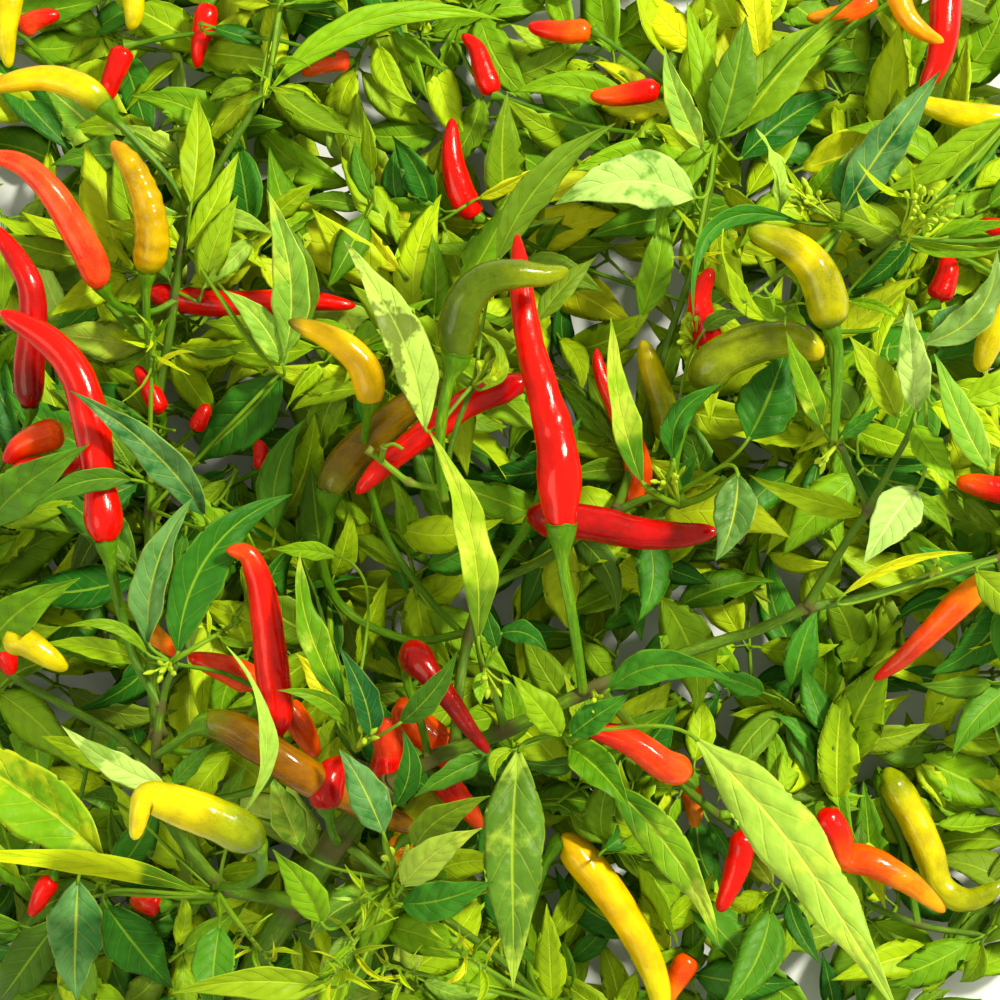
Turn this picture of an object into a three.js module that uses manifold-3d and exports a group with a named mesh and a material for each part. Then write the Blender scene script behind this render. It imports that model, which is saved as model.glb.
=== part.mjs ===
// A fruiting branch of a chilli pepper, cut at the foot of its main stem and laid down.
// Millimetres, +Z up: the branch lies on the plane z = 0 and its stems fork across the XY plane.
import * as THREE from "three";
import { mergeVertices } from "three/addons/utils/BufferGeometryUtils.js";
import Module from "manifold-3d";

const wasm = await Module();
wasm.setup();

// Driving sizes.
const GRID = 0.2;            // one step of the (u, v) grid that the branch is laid out on
const EYE = 555.6;           // height of the eye above FOCUS for which that grid looks even
const FOCUS = 55;            // height of the plane that the main stem and the best fruits lie in
const GAP = 0.34;            // clear gap left between pieces that touch
const BLADE = 1.8;           // thickness of a leaf solid at its midrib
const THIN = 0.03;           // least height of a facet
const LEAST_LEAF = 27;       // grid width of the narrowest leaf that has a part in its mass
const PETIOLE = 0.75;        // half width of a leaf stalk
const FRUIT_STALK = 0.95;    // radius of a fruit stalk where it leaves the limb
const LIMB_SIDES = 8;
const TWIG_SIDES = 6;
const FRUIT_SIDES = 6;
const LIMB_STEP = 15;        // longest stretch of a limb between two rings

const BARK = { color: 0x53682c, roughness: 0.62 };
const GREEN = { color: 0x3f7a2b, roughness: 0.45 };
const RIPENESS = { red: 0xc41a12, orange: 0xe0561a, amber: 0xe98a1c, yellow: 0xe8c22a, lime: 0xa9bf3a, green: 0x6d8f2e, brown: 0x8a5a2a };

// u runs right and v runs down, in thousandths of the picture's side; z is the height above the table in mm.
// Each limb: name, limb it grows from, radius at its foot and at its end in mm, and the points it passes.
const LIMBS = [
  ["main_stem", "", 3.4, 2.6, [[205, 1085, 2.6], [250, 975, 17], [310, 880, 34], [352, 822, 44], [394, 784, 50]]],
  ["main_arm", "main_stem", 2.15, 1.5, [[392, 785, 50], [432, 759, 52], [480, 741, 54], [520, 724, 55], [552, 708, 56], [585, 692, 56], [632, 671, 56], [672, 657, 56], [715, 643, 56], [760, 629, 56], [810, 606, 56]]],
  ["upper_arm", "main_arm", 1.15, 0.8, [[808, 607, 56], [815, 593, 57], [835, 560, 58], [855, 528, 59], [867, 509, 60], [859, 488, 60], [850, 468, 60], [842, 450, 60], [835, 443, 60]]],
  ["right_arm", "main_arm", 1.15, 0.75, [[808, 607, 56], [850, 600, 55], [900, 588, 54], [930, 577, 53], [975, 564, 52], [1040, 548, 50], [1105, 526, 46]]],
  ["front_twig", "upper_arm", 0.85, 0.65, [[867, 509, 60], [880, 488, 63], [895, 460, 67], [907, 438, 71], [918, 408, 75], [925, 385, 77]]],
  ["crown_twig", "upper_arm", 0.85, 0.65, [[835, 443, 58], [835, 400, 50], [831, 345, 44], [824, 308, 43], [820, 290, 45], [840, 276, 50], [870, 256, 53], [899, 237, 56]]],
  ["crown_side_twig", "crown_twig", 0.75, 0.65, [[820, 290, 45], [828, 262, 50], [835, 243, 52], [842, 226, 54]]],
  ["back_arm", "main_arm", 1.4, 0.85, [[455, 750, 50], [458, 700, 44], [468, 640, 39], [486, 592, 38], [547, 558, 38], [616, 512, 40], [655, 497, 42], [679, 504, 44], [712, 491, 47], [724, 478, 50]]],
  ["centre_twig", "main_arm", 0.95, 0.62, [[505, 731, 55], [496, 700, 57], [484, 668, 58], [476, 630, 56], [468, 560, 54], [457, 505, 55], [448, 468, 57], [455, 432, 57], [466, 402, 57], [472, 388, 57]]],
  ["left_arm", "main_stem", 1.8, 0.8, [[296, 902, 32], [262, 896, 38], [225, 888, 44], [200, 862, 48], [172, 826, 50], [158, 790, 51], [156, 750, 52], [165, 690, 55], [176, 664, 58]]],
  ["far_left_arm", "left_arm", 1.25, 0.75, [[157, 770, 51], [120, 737, 44], [60, 703, 38], [0, 664, 34], [-24, 600, 32], [-24, 530, 31], [0, 466, 33], [24, 432, 35]]],
  ["back_left_arm", "left_arm", 1.5, 0.8, [[158, 735, 52], [150, 650, 36], [150, 520, 24], [155, 420, 22], [170, 330, 23], [190, 217, 27], [225, 155, 27], [262, 92, 26], [280, 20, 25], [286, -30, 24]]],
  ["back_top_arm", "back_arm", 1.15, 0.75, [[616, 512, 40], [640, 440, 27], [665, 350, 21], [695, 260, 21], [712, 180, 24], [716, 140, 26]]],
  ["lower_arm", "main_arm", 1.3, 0.8, [[598, 688, 56], [640, 735, 38], [690, 792, 22], [770, 850, 14], [850, 895, 12], [920, 925, 13], [985, 935, 14]]],
  ["bottom_arm", "main_stem", 1.3, 0.8, [[340, 838, 41], [392, 882, 40], [450, 922, 33], [510, 968, 27], [550, 1012, 22]]],
];
// Each fruit: name, ripeness, limb it hangs on, greatest radius in mm, points of its stalk from the limb to the cap, and points of its pod from the cap to the tip.
const FRUITS = [
  ["fruit_centre_red", "red", "main_arm", 4.55, [[583, 693, 57], [578, 655, 60], [570, 606, 62], [562, 562, 63]], [[561, 526, 64], [560, 494, 64], [558, 455, 64], [544, 395, 63], [530, 345, 61], [522, 293, 59], [517, 234, 57]]],
  ["fruit_crossing_red", "red", "back_arm", 3.8, [[487, 592, 39], [500, 566, 42], [515, 545, 45], [524, 532, 47]], [[532, 519, 49], [556, 519, 51], [600, 524, 51], [640, 533, 51], [680, 535, 52], [718, 531, 54]]],
  ["fruit_top_green", "green", "centre_twig", 4.5, [[444, 500, 56], [440, 452, 61], [443, 410, 64], [450, 378, 65]], [[457, 354, 66], [458, 326, 68], [466, 299, 70], [486, 280, 71], [515, 274, 71], [545, 275, 70], [569, 270, 69]]],
  ["fruit_right_green", "green", "back_arm", 4.3, [[681, 502, 45], [674, 470, 46], [682, 430, 47], [693, 406, 48]], [[703, 386, 49], [714, 364, 51], [736, 350, 52], [767, 340, 53], [798, 340, 54], [823, 357, 55]]],
  ["fruit_right_yellow", "lime", "upper_arm", 4.15, [[834, 442, 61], [836, 400, 62], [838, 365, 63], [837, 345, 63]], [[831, 326, 64], [827, 300, 65], [817, 272, 66], [799, 252, 66], [775, 239, 66], [748, 231, 66]]],
  ["fruit_olive", "brown", "back_arm", 3.9, [[470, 632, 38], [410, 640, 30], [345, 610, 28], [322, 560, 34], [329, 520, 39]], [[330, 492, 41], [348, 462, 41], [378, 432, 41], [410, 406, 41], [446, 382, 41]]],
  ["fruit_slim_red", "red", "back_arm", 3.0, [[486, 590, 39], [538, 500, 40], [541, 440, 44], [532, 396, 47]], [[522, 385, 48], [498, 391, 48], [466, 405, 48], [428, 432, 48], [388, 462, 48], [356, 494, 48]]],
  ["fruit_left_amber", "amber", "back_arm", 3.3, [[469, 640, 38], [430, 600, 32], [388, 540, 29], [368, 480, 34], [365, 434, 46]], [[370, 399, 52], [366, 372, 53], [350, 351, 54], [325, 335, 55], [288, 321, 56]]],
  ["fruit_small_red", "red", "main_arm", 3.6, [[428, 758, 53], [424, 735, 50], [415, 705, 48], [406, 676, 50]], [[411, 656, 55], [421, 664, 60], [434, 680, 61], [452, 703, 61], [470, 729, 61], [489, 753, 61]]],
  ["fruit_inner_red", "orange", "main_stem", 4.1, [[394, 790, 50], [402, 806, 46], [396, 801, 43], [392, 796, 43]], [[389, 787, 44], [391, 768, 46], [391, 750, 47], [386, 735, 49], [387, 719, 52]]],
  ["fruit_low_red", "red", "main_stem", 3.5, [[338, 842, 46], [333, 833, 55], [329, 818, 57]], [[326, 805, 58], [327, 786, 58], [333, 773, 57], [343, 768, 55], [356, 771, 52]]],
  ["fruit_left_brown", "brown", "left_arm", 3.75, [[157, 755, 53], [172, 745, 58], [190, 732, 60]], [[208, 724, 61], [232, 729, 61], [264, 748, 61], [300, 772, 60], [350, 799, 52], [417, 830, 46]]],
  ["fruit_left_upright", "red", "left_arm", 3.35, [[158, 790, 52], [200, 800, 50], [262, 786, 51], [273, 762, 55]], [[274, 735, 57], [276, 703, 58], [272, 664, 60], [267, 622, 62], [259, 580, 63], [247, 554, 64], [226, 550, 65]]],
  ["fruit_left_flat", "red", "left_arm", 3.2, [[157, 745, 51], [182, 752, 44], [226, 742, 41], [256, 706, 43]], [[254, 684, 46], [235, 673, 47], [212, 664, 48], [188, 656, 49]]],
  ["fruit_edge_red", "red", "left_arm", 4.0, [[160, 705, 54], [135, 660, 53], [121, 612, 53], [112, 572, 54]], [[106, 541, 55], [103, 513, 55], [98, 470, 55], [92, 428, 55], [77, 375, 55], [52, 343, 55], [0, 311, 56]]],
  ["fruit_edge_deep_red", "red", "far_left_arm", 3.2, [[24, 434, 35], [27, 424, 37], [30, 416, 39]], [[30, 405, 41], [29, 370, 42], [33, 325, 43], [30, 285, 44], [16, 258, 44], [-8, 225, 44]]],
  ["fruit_edge_light_red", "red", "back_left_arm", 3.3, [[176, 300, 24], [150, 312, 28], [118, 306, 33]], [[101, 285, 36], [92, 262, 38], [74, 228, 40], [50, 190, 42], [22, 165, 43], [-14, 154, 44]]],
  ["fruit_corner_yellow", "yellow", "back_left_arm", 3.1, [[191, 216, 27], [170, 180, 29], [140, 146, 31], [118, 122, 32]], [[103, 105, 33], [80, 87, 34], [45, 78, 34], [5, 84, 34], [-20, 94, 34]]],
  ["fruit_left_yellow", "amber", "back_left_arm", 3.2, [[158, 400, 23], [150, 350, 28], [146, 305, 32]], [[147, 272, 34], [152, 240, 36], [148, 205, 37], [134, 170, 38], [112, 141, 38]]],
  ["fruit_front_yellow", "yellow", "left_arm", 4.15, [[216, 886, 46], [245, 884, 60], [262, 868, 72]], [[254, 842, 80], [232, 826, 83], [198, 812, 85], [163, 800, 86], [146, 798, 87], [134, 840, 88]]],
  ["fruit_behind_red", "red", "lower_arm", 3.4, [[655, 752, 33], [672, 770, 34], [694, 785, 37]], [[686, 774, 39], [664, 765, 42], [636, 745, 43], [612, 735, 43], [586, 731, 43]]],
  ["fruit_bottom_yellow", "amber", "bottom_arm", 3.9, [[512, 970, 27], [530, 910, 22], [546, 862, 20]], [[562, 842, 20], [584, 862, 20], [610, 895, 20], [636, 935, 20], [656, 980, 20], [664, 1024, 19]]],
  ["fruit_right_orange", "orange", "right_arm", 3.0, [[930, 578, 52], [968, 570, 46], [992, 568, 42]], [[984, 580, 40], [958, 604, 38], [930, 632, 36], [900, 660, 34], [874, 680, 32]]],
  ["fruit_low_right_yellow", "yellow", "lower_arm", 3.7, [[918, 925, 13], [902, 842, 12], [880, 790, 12]], [[884, 775, 13], [906, 805, 13], [928, 850, 14], [942, 888, 15], [968, 900, 16], [1004, 884, 17]]],
];
// Each mass of leaves: name, the node on the limb that it grows round, and the radius of the knot there in mm.
const HUBS = {
  crown_left: ["leaves_crown_left", [842, 225, 54], 2.2],
  crown_right: ["leaves_crown_right", [900, 236, 56], 2.1],
  centre_top: ["leaves_centre_top", [473, 386, 57], 2.0],
  centre: ["leaves_centre", [484, 668, 58], 2.3],
  fork: ["leaves_main_fork", [563, 731, 58], 3.2],
  low_centre: ["leaves_low_centre", [392, 882, 42], 2.6],
  inner: ["leaves_inner_left", [357, 748, 59], 2.4],
  upright: ["leaves_left_upright", [170, 662, 59], 2.5],
  left: ["leaves_left", [157, 778, 52], 3.0],
  corner: ["leaves_low_left", [217, 893, 45], 3.3],
  edge: ["leaves_left_edge", [-24, 560, 31], 2.4],
  left_back: ["leaves_left_back", [150, 510, 24], 2.6],
  top_left: ["leaves_top_left", [186, 250, 26], 2.4],
  top_left_tip: ["leaves_top_left_tip", [287, -32, 24], 2.2],
  top_back: ["leaves_top_back", [716, 138, 26], 2.2],
  back: ["leaves_back_centre", [668, 499, 43], 2.5],
  front: ["leaves_front_right", [926, 384, 77], 2.0],
  right: ["leaves_right", [1000, 558, 51], 2.4],
  low_right: ["leaves_low_right", [720, 815, 19], 2.5],
  bottom: ["leaves_bottom", [540, 1000, 24], 2.3],
  twig_fork: ["leaves_twig_fork", [836, 446, 60], 2.3],
};
// Each leaf: hub, foot of the blade, tip, width, roll and twist in degrees, arch and sideways bow as shares of the length, fold in degrees, and tint.
const LEAVES = [
  ["centre_top", [497, 262, 50], [614, 122, 55], 42, 22, 0, 0.05, -0.09, 24, "dark"],
  ["centre_top", [537, 322, 49], [598, 257, 47], 26, -20, 0, 0.04, -0.05, 15, "dark"],
  ["centre_top", [425, 430, 63], [338, 244, 70], 50, 10, 10, 0.05, 0.09, 24, "patched", 1.4],
  ["centre_top", [481, 391, 60], [479, 331, 61], 19, 20, 30, 0.06, 0.34, 22, "golden", 2.2],
  ["centre", [478, 640, 63], [431, 430, 70], 43, 14, 8, 0.04, 0.075, 30, "sunny", 1.6],
  ["centre", [497, 650, 60], [484, 604, 62], 17, 0, 0, 0.05, 0.0, 10, "dark"],
  ["centre", [499, 634, 60], [548, 652, 64], 26, -15, 0, 0.06, -0.18, 18, "dark"],
  ["centre", [484, 672, 61], [482, 706, 64], 15, 0, 0, 0.05, 0.1, 12, "mid"],
  ["fork", [519, 748, 60], [520, 989, 66], 66, -8, 5, 0.04, 0.03, 20, "mottled", 1.5],
  ["fork", [569, 746, 60], [630, 808, 70], 46, -8, 0, 0.06, -0.05, 30, "mid", 1.4],
  ["fork", [610, 785, 53], [721, 941, 64], 48, 10, 12, 0.04, -0.06, 22, "sunny", 1.6],
  ["fork", [695, 738, 59], [893, 1018, 76], 70, 6, 4, 0.05, -0.05, 14, "pale", 1.3],
  ["fork", [561, 737, 60], [512, 677, 68], 38, 10, 0, 0.06, 0.03, 22, "mid", 1.5],
  ["fork", [569, 737, 61], [631, 695, 67], 31, -6, 0, 0.05, -0.03, 14, "dark"],
  ["fork", [607, 691, 63], [735, 682, 76], 38, -10, 10, 0.06, -0.16, 22, "dark", 1.4],
  ["fork", [513, 750, 60], [496, 782, 62], 17, 20, 0, 0.1, 0.28, 20, "lime"],
  ["fork", [490, 757, 58], [414, 798, 62], 28, -20, 0, 0.05, 0.04, 14, "dark"],
  ["low_centre", [414, 850, 66], [491, 797, 79], 38, 15, 0, 0.08, -0.1, 16, "mid"],
  ["low_centre", [402, 888, 70], [480, 827, 84], 40, 10, 0, 0.06, -0.06, 14, "pale"],
  ["low_centre", [400, 904, 58], [492, 880, 68], 44, -5, 0, 0.06, 0.05, 12, "dark"],
  ["low_centre", [384, 835, 66], [341, 748, 68], 42, 6, 0, 0.05, 0.03, 10, "blue"],
  ["low_centre", [393, 808, 60], [402, 728, 62], 27, 15, 0, 0.05, 0.15, 16, "dark"],
  ["low_centre", [322, 924, 62], [272, 850, 70], 40, -12, 0, 0.06, 0.06, 16, "mid"],
  ["low_centre", [300, 846, 46], [271, 776, 47], 36, 5, 0, 0.04, 0.0, 8, "pale"],
  ["inner", [345, 703, 64], [295, 554, 71], 38, 14, 10, 0.05, -0.06, 40, "sunny", 2.2],
  ["inner", [372, 740, 62], [337, 648, 68], 31, 15, 0, 0.05, 0.08, 18, "blue"],
  ["inner", [352, 735, 59], [336, 685, 59], 17, 0, 0, 0.04, 0.0, 15, "dark"],
  ["inner", [348, 727, 62], [277, 691, 72], 21, -25, 40, 0.08, 0.15, 18, "mid"],
  ["inner", [399, 724, 66], [459, 652, 74], 29, 10, 0, 0.06, 0.05, 14, "dark"],
  ["inner", [336, 720, 50], [297, 652, 50], 27, 0, 0, 0.04, 0.05, 10, "yellow"],
  ["inner", [338, 556, 42], [271, 551, 42], 19, 0, 0, 0.05, 0.05, 12, "mid"],
  ["upright", [178, 655, 61], [291, 489, 70], 56, 8, 6, 0.06, -0.15, 26, "dark", 1.5],
  ["upright", [148, 645, 60], [190, 497, 64], 42, -14, 0, 0.05, -0.08, 26, "blue", 1.6],
  ["upright", [148, 655, 61], [62, 629, 66], 14, 10, 0, 0.08, 0.2, 14, "mid"],
  ["upright", [150, 662, 52], [42, 641, 48], 24, 5, 0, 0.05, 0.03, 12, "lime"],
  ["left", [168, 786, 57], [62, 725, 64], 30, 12, 0, 0.05, -0.06, 20, "pale", 1.3],
  ["left", [122, 772, 44], [40, 736, 43], 26, 0, 0, 0.05, 0.04, 12, "lime"],
  ["left", [171, 785, 59], [213, 742, 64], 20, 0, 0, 0.05, 0.0, 12, "dark"],
  ["corner", [243, 815, 70], [231, 646, 78], 24, 40, 20, 0.05, 0.17, 30, "pale", 2.0],
  ["corner", [200, 892, 56], [-62, 862, 66], 27, 14, 0, 0.05, 0.07, 30, "yellow", 1.4],
  ["corner", [78, 880, 40], [74, 1003, 42], 60, 5, 0, 0.05, 0.0, 20, "mottled", 1.3],
  ["corner", [220, 925, 53], [214, 1022, 60], 46, 0, 0, 0.06, 0.03, 16, "dark"],
  ["corner", [332, 988, 56], [172, 990, 64], 38, -10, 0, 0.08, 0.06, 14, "mid"],
  ["corner", [117, 803, 52], [80, 799, 56], 24, 0, 30, 0.1, 0.1, 20, "dark"],
  ["corner", [105, 905, 34], [172, 990, 24], 56, 0, 0, 0.05, 0.0, 10, "dark"],
  ["corner", [60, 918, 28], [-6, 1010, 12], 52, 0, 0, 0.06, 0.0, 10, "dark"],
  ["corner", [104, 857, 60], [-72, 742, 54], 82, -4, 0, 0.06, 0.06, 30, "golden", 1.5],
  ["edge", [-12, 524, 42], [87, 447, 62], 52, 8, 0, 0.06, -0.04, 24, "dark", 1.5],
  ["edge", [-15, 652, 42], [76, 579, 60], 48, 4, 12, 0.06, -0.06, 14, "mid"],
  ["left_back", [134, 480, 59], [28, 513, 63], 27, -12, 0, 0.06, 0.12, 14, "dark"],
  ["left_back", [205, 517, 48], [72, 393, 66], 42, -10, 8, 0.05, 0.07, 28, "blue", 1.4],
  ["left_back", [282, 375, 22], [190, 462, 12], 60, 0, 0, 0.05, -0.04, 10, "dark"],
  ["top_left", [284, 356, 38], [263, 190, 46], 40, -8, 0, 0.05, 0.10, 18, "pale"],
  ["top_left", [284, 368, 36], [222, 290, 42], 34, 6, 0, 0.05, 0.10, 18, "pale"],
  ["top_left", [298, 340, 33], [276, 212, 38], 26, 18, 0, 0.05, 0.14, 24, "dark"],
  ["top_left", [191, 205, 30], [196, 95, 24], 36, 0, 0, 0.06, 0.04, 12, "lime"],
  ["top_left_tip", [270, 90, 30], [508, 27, 20], 30, 10, 0, 0.05, -0.16, 14, "mid"],
  ["top_back", [697, 198, 36], [556, 205, 44], 60, 4, 0, 0.06, 0.13, 20, "lime", 1.3],
  ["top_back", [715, 138, 30], [684, 0, 28], 36, 0, 0, 0.06, 0.02, 12, "lime"],
  ["top_back", [718, 140, 32], [746, 16, 36], 50, 0, 0, 0.06, 0.02, 12, "dark"],
  ["top_back", [738, 132, 26], [846, 14, 20], 52, 0, 0, 0.06, -0.05, 12, "mid"],
  ["top_back", [703, 150, 36], [662, 48, 42], 31, -15, 0, 0.06, -0.04, 16, "pale"],
  ["top_back", [740, 160, 22], [838, 92, 10], 44, 0, 0, 0.06, -0.05, 12, "dark"],
  ["top_back", [640, 318, 28], [664, 204, 28], 35, 0, 0, 0.05, 0.05, 12, "mid"],
  ["back", [643, 484, 56], [612, 318, 66], 33, 16, 10, 0.04, -0.05, 26, "mottled", 2.2],
  ["back", [674, 462, 57], [723, 386, 63], 40, -18, 20, 0.06, -0.22, 26, "dark", 2.6],
  ["back", [748, 440, 46], [784, 350, 44], 62, 4, 0, 0.05, 0.03, 12, "dark"],
  ["back", [738, 474, 63], [718, 562, 68], 46, 6, 0, 0.06, -0.05, 16, "mottled", 1.5],
  ["back", [703, 332, 40], [747, 315, 42], 17, 0, 0, 0.05, -0.15, 12, "dark"],
  ["twig_fork", [866, 514, 57], [748, 478, 58], 27, -14, 0, 0.04, -0.02, 20, "lime", 1.4],
  ["twig_fork", [822, 428, 60], [784, 332, 69], 27, 8, 0, 0.05, 0.0, 16, "lime"],
  ["twig_fork", [840, 438, 62], [882, 406, 66], 17, -10, 30, 0.06, 0.0, 18, "dark"],
  ["crown_left", [842, 214, 58], [943, 72, 66], 50, 4, 0, 0.05, -0.03, 20, "blue", 1.3],
  ["crown_left", [842, 206, 57], [857, 142, 61], 27, -10, 0, 0.05, -0.05, 20, "blue", 1.3],
  ["crown_left", [812, 199, 55], [848, 155, 60], 22, 10, 0, 0.05, -0.05, 14, "mid"],
  ["crown_left", [800, 222, 58], [692, 318, 74], 21, -35, 20, 0.05, 0.3, 18, "dark"],
  ["crown_left", [779, 213, 56], [757, 129, 62], 24, 10, 60, 0.06, 0.10, 24, "mottled", 2.6],
  ["crown_left", [808, 218, 56], [780, 160, 64], 9, 0, 0, 0.06, 0.05, 18, "lime"],
  ["crown_left", [810, 224, 56], [785, 197, 61], 8, 0, 0, 0.06, 0.05, 18, "lime"],
  ["crown_left", [826, 224, 56], [864, 225, 58], 9, 0, 0, 0.06, 0.05, 18, "mid"],
  ["crown_left", [766, 320, 62], [721, 231, 72], 23, 10, 55, 0.06, -0.14, 24, "lime", 2.6],
  ["crown_right", [897, 227, 60], [857, 190, 64], 15, 10, 0, 0.06, -0.16, 20, "lime"],
  ["crown_right", [909, 196, 62], [859, 158, 68], 7, 0, 0, 0.06, -0.14, 14, "lime"],
  ["crown_right", [915, 212, 60], [911, 163, 70], 8, 0, 0, 0.04, 0.0, 16, "lime"],
  ["crown_right", [918, 214, 60], [922, 190, 66], 6, 0, 0, 0.04, 0.0, 16, "lime"],
  ["crown_right", [906, 240, 58], [1012, 247, 64], 17, 10, 30, 0.06, 0.08, 26, "lime", 2.2],
  ["crown_right", [945, 238, 56], [1018, 222, 60], 14, -10, 0, 0.06, -0.04, 14, "mid"],
  ["crown_right", [848, 302, 51], [904, 323, 56], 12, 10, 0, 0.06, -0.1, 14, "mid"],
  ["front", [897, 418, 79], [849, 337, 86], 36, 6, 0, 0.05, 0.04, 14, "lime"],
  ["front", [917, 412, 82], [905, 302, 91], 36, -8, 0, 0.05, 0.0, 20, "white"],
  ["front", [990, 470, 84], [938, 352, 91], 38, 10, 0, 0.05, -0.05, 20, "white"],
  ["front", [930, 404, 80], [1012, 452, 84], 36, 0, 0, 0.06, -0.05, 14, "lime"],
  ["front", [914, 424, 78], [958, 484, 84], 34, -10, 0, 0.06, 0.05, 14, "mid"],
  ["front", [960, 404, 82], [1062, 372, 80], 36, 10, 0, 0.06, -0.05, 14, "mid"],
  ["front", [918, 488, 76], [866, 566, 86], 48, 6, 0, 0.06, 0.05, 16, "white"],
  ["front", [921, 344, 66], [997, 248, 66], 38, -8, 20, 0.05, 0.20, 26, "dark", 2.6],
  ["front", [934, 332, 60], [960, 304, 60], 26, 10, 0, 0.05, 0.0, 12, "dark"],
  ["right", [842, 596, 60], [972, 553, 64], 12, 10, 0, 0.05, -0.10, 24, "yellow"],
  ["right", [975, 570, 56], [1052, 628, 60], 38, 0, 0, 0.06, 0.05, 12, "mid"],
  ["right", [1046, 540, 52], [1130, 462, 56], 40, 0, 0, 0.06, -0.05, 12, "mid"],
  ["right", [1090, 530, 50], [1172, 566, 44], 38, 8, 0, 0.08, 0.05, 12, "dark"],
  ["right", [1060, 548, 46], [1086, 660, 30], 44, -8, 0, 0.06, 0.05, 12, "lime"],
];
// The thick of a mass, behind its best leaves: its middle, its half sizes along u and v in grid steps, and its half height in mm.
const THICKETS = {
  top_left_tip: [[285, 12, 15], [123, 86, 15]],
  top_left: [[188, 258, 18], [114, 128, 16]],
  left_back: [[146, 505, 17], [123, 119, 16]],
  edge: [[-28, 600, 16], [79, 123, 18]],
  corner: [[150, 938, 17], [136, 92, 17]],
  low_centre: [[385, 915, 20], [101, 92, 18]],
  inner: [[330, 590, 20], [101, 123, 16]],
  centre_top: [[410, 300, 20], [117, 128, 17]],
  back: [[628, 545, 18], [123, 121, 16]],
  top_back: [[715, 150, 12], [128, 119, 14]],
  fork: [[600, 790, 19], [106, 88, 15]],
  bottom: [[560, 990, 12], [114, 90, 15]],
  low_right: [[800, 790, 12], [132, 132, 15]],
  right: [[1035, 610, 17], [92, 112, 17]],
  twig_fork: [[868, 420, 19], [106, 114, 17]],
  crown_right: [[930, 228, 15], [97, 92, 17]],
};
// Leaves that reach out of a thicket, set by rule: hub, how many, first and last direction in degrees (0 is right, 90 is up), shortest and longest reach from the thicket's middle, and the heights that their tips lie between.
const SPRAYS = [
  ["edge", 2, 130, 230, 130, 150, [6, 24]],
  ["top_left_tip", 3, -20, 200, 130, 150, [-2, 10]],
  ["top_back", 1, 40, 80, 140, 160, [-2, 6]],
  ["low_right", 2, -80, 0, 150, 175, [-2, 8]],
  ["bottom", 2, -130, -40, 120, 140, [-2, 8]],
  ["corner", 1, 200, 240, 150, 160, [-2, 8]],
  ["right", 1, -60, 0, 120, 140, [8, 24]],
];

const place = ([u, v, z]) => {
  const k = (GRID * (EYE - (z - FOCUS))) / EYE;
  return new THREE.Vector3((u - 500) * k, (500 - v) * k, z);
};
const gridStep = (z) => (GRID * (EYE - (z - FOCUS))) / EYE;

function seeded(seed) {
  let a = seed >>> 0;
  return () => {
    a = (a + 0x6d2b79f5) >>> 0;
    let t = a;
    t = Math.imul(t ^ (t >>> 15), t | 1);
    t ^= t + Math.imul(t ^ (t >>> 7), t | 61);
    return ((t ^ (t >>> 14)) >>> 0) / 4294967296;
  };
}

// A closed skin round a row of rings. Each ring is a list of points; a ring of one point closes to a tip.
function skin(rings) {
  const at = [], faces = [], first = [];
  for (const ring of rings) {
    first.push(at.length / 3);
    for (const p of ring) at.push(p.x, p.y, p.z);
  }
  for (let i = 0; i + 1 < rings.length; i++) {
    const a = rings[i].length, b = rings[i + 1].length, n = Math.max(a, b);
    for (let j = 0; j < n; j++) {
      const k = (j + 1) % n;
      if (a === 1) faces.push(first[i], first[i + 1] + j, first[i + 1] + k);
      else if (b === 1) faces.push(first[i] + j, first[i + 1], first[i] + k);
      else {
        faces.push(first[i] + j, first[i + 1] + j, first[i + 1] + k);
        faces.push(first[i] + j, first[i + 1] + k, first[i] + k);
      }
    }
  }
  const close = (i, flip) => {
    const ring = rings[i];
    for (let j = 1; j + 1 < ring.length; j++) {
      if (flip) faces.push(first[i], first[i] + j, first[i] + j + 1);
      else faces.push(first[i], first[i] + j + 1, first[i] + j);
    }
  };
  if (rings[0].length > 1) close(0, true);
  if (rings.at(-1).length > 1) close(rings.length - 1, false);
  const geometry = new THREE.BufferGeometry();
  geometry.setAttribute("position", new THREE.Float32BufferAttribute(at, 3));
  geometry.setIndex(faces);
  return geometry;
}

function solid(geometry) {
  const g = geometry.clone();
  g.deleteAttribute("normal");
  g.deleteAttribute("uv");
  const m = mergeVertices(g, 1e-4);
  let body = new wasm.Manifold(new wasm.Mesh({ numProp: 3, vertProperties: new Float32Array(m.attributes.position.array), triVerts: new Uint32Array(m.index.array) }));
  if (body.volume() < 0) {
    const t = new Uint32Array(m.index.array);
    for (let i = 0; i < t.length; i += 3) [t[i], t[i + 1]] = [t[i + 1], t[i]];
    body = new wasm.Manifold(new wasm.Mesh({ numProp: 3, vertProperties: new Float32Array(m.attributes.position.array), triVerts: t }));
  }
  return body;
}

// Points at equal shares of the way along part of a curve.
function along(curve, from, to, shares) {
  const n = 120, dots = [], way = [0];
  for (let i = 0; i <= n; i++) dots.push(curve.getPoint(from + ((to - from) * i) / n));
  for (let i = 1; i <= n; i++) way.push(way[i - 1] + dots[i].distanceTo(dots[i - 1]));
  const length = way[n];
  return {
    length,
    at: shares.map((s) => {
      const d = s * length;
      let i = 1;
      while (i < n && way[i] < d) i++;
      return dots[i - 1].clone().lerp(dots[i], way[i] > way[i - 1] ? (d - way[i - 1]) / (way[i] - way[i - 1]) : 0);
    }),
  };
}

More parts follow.
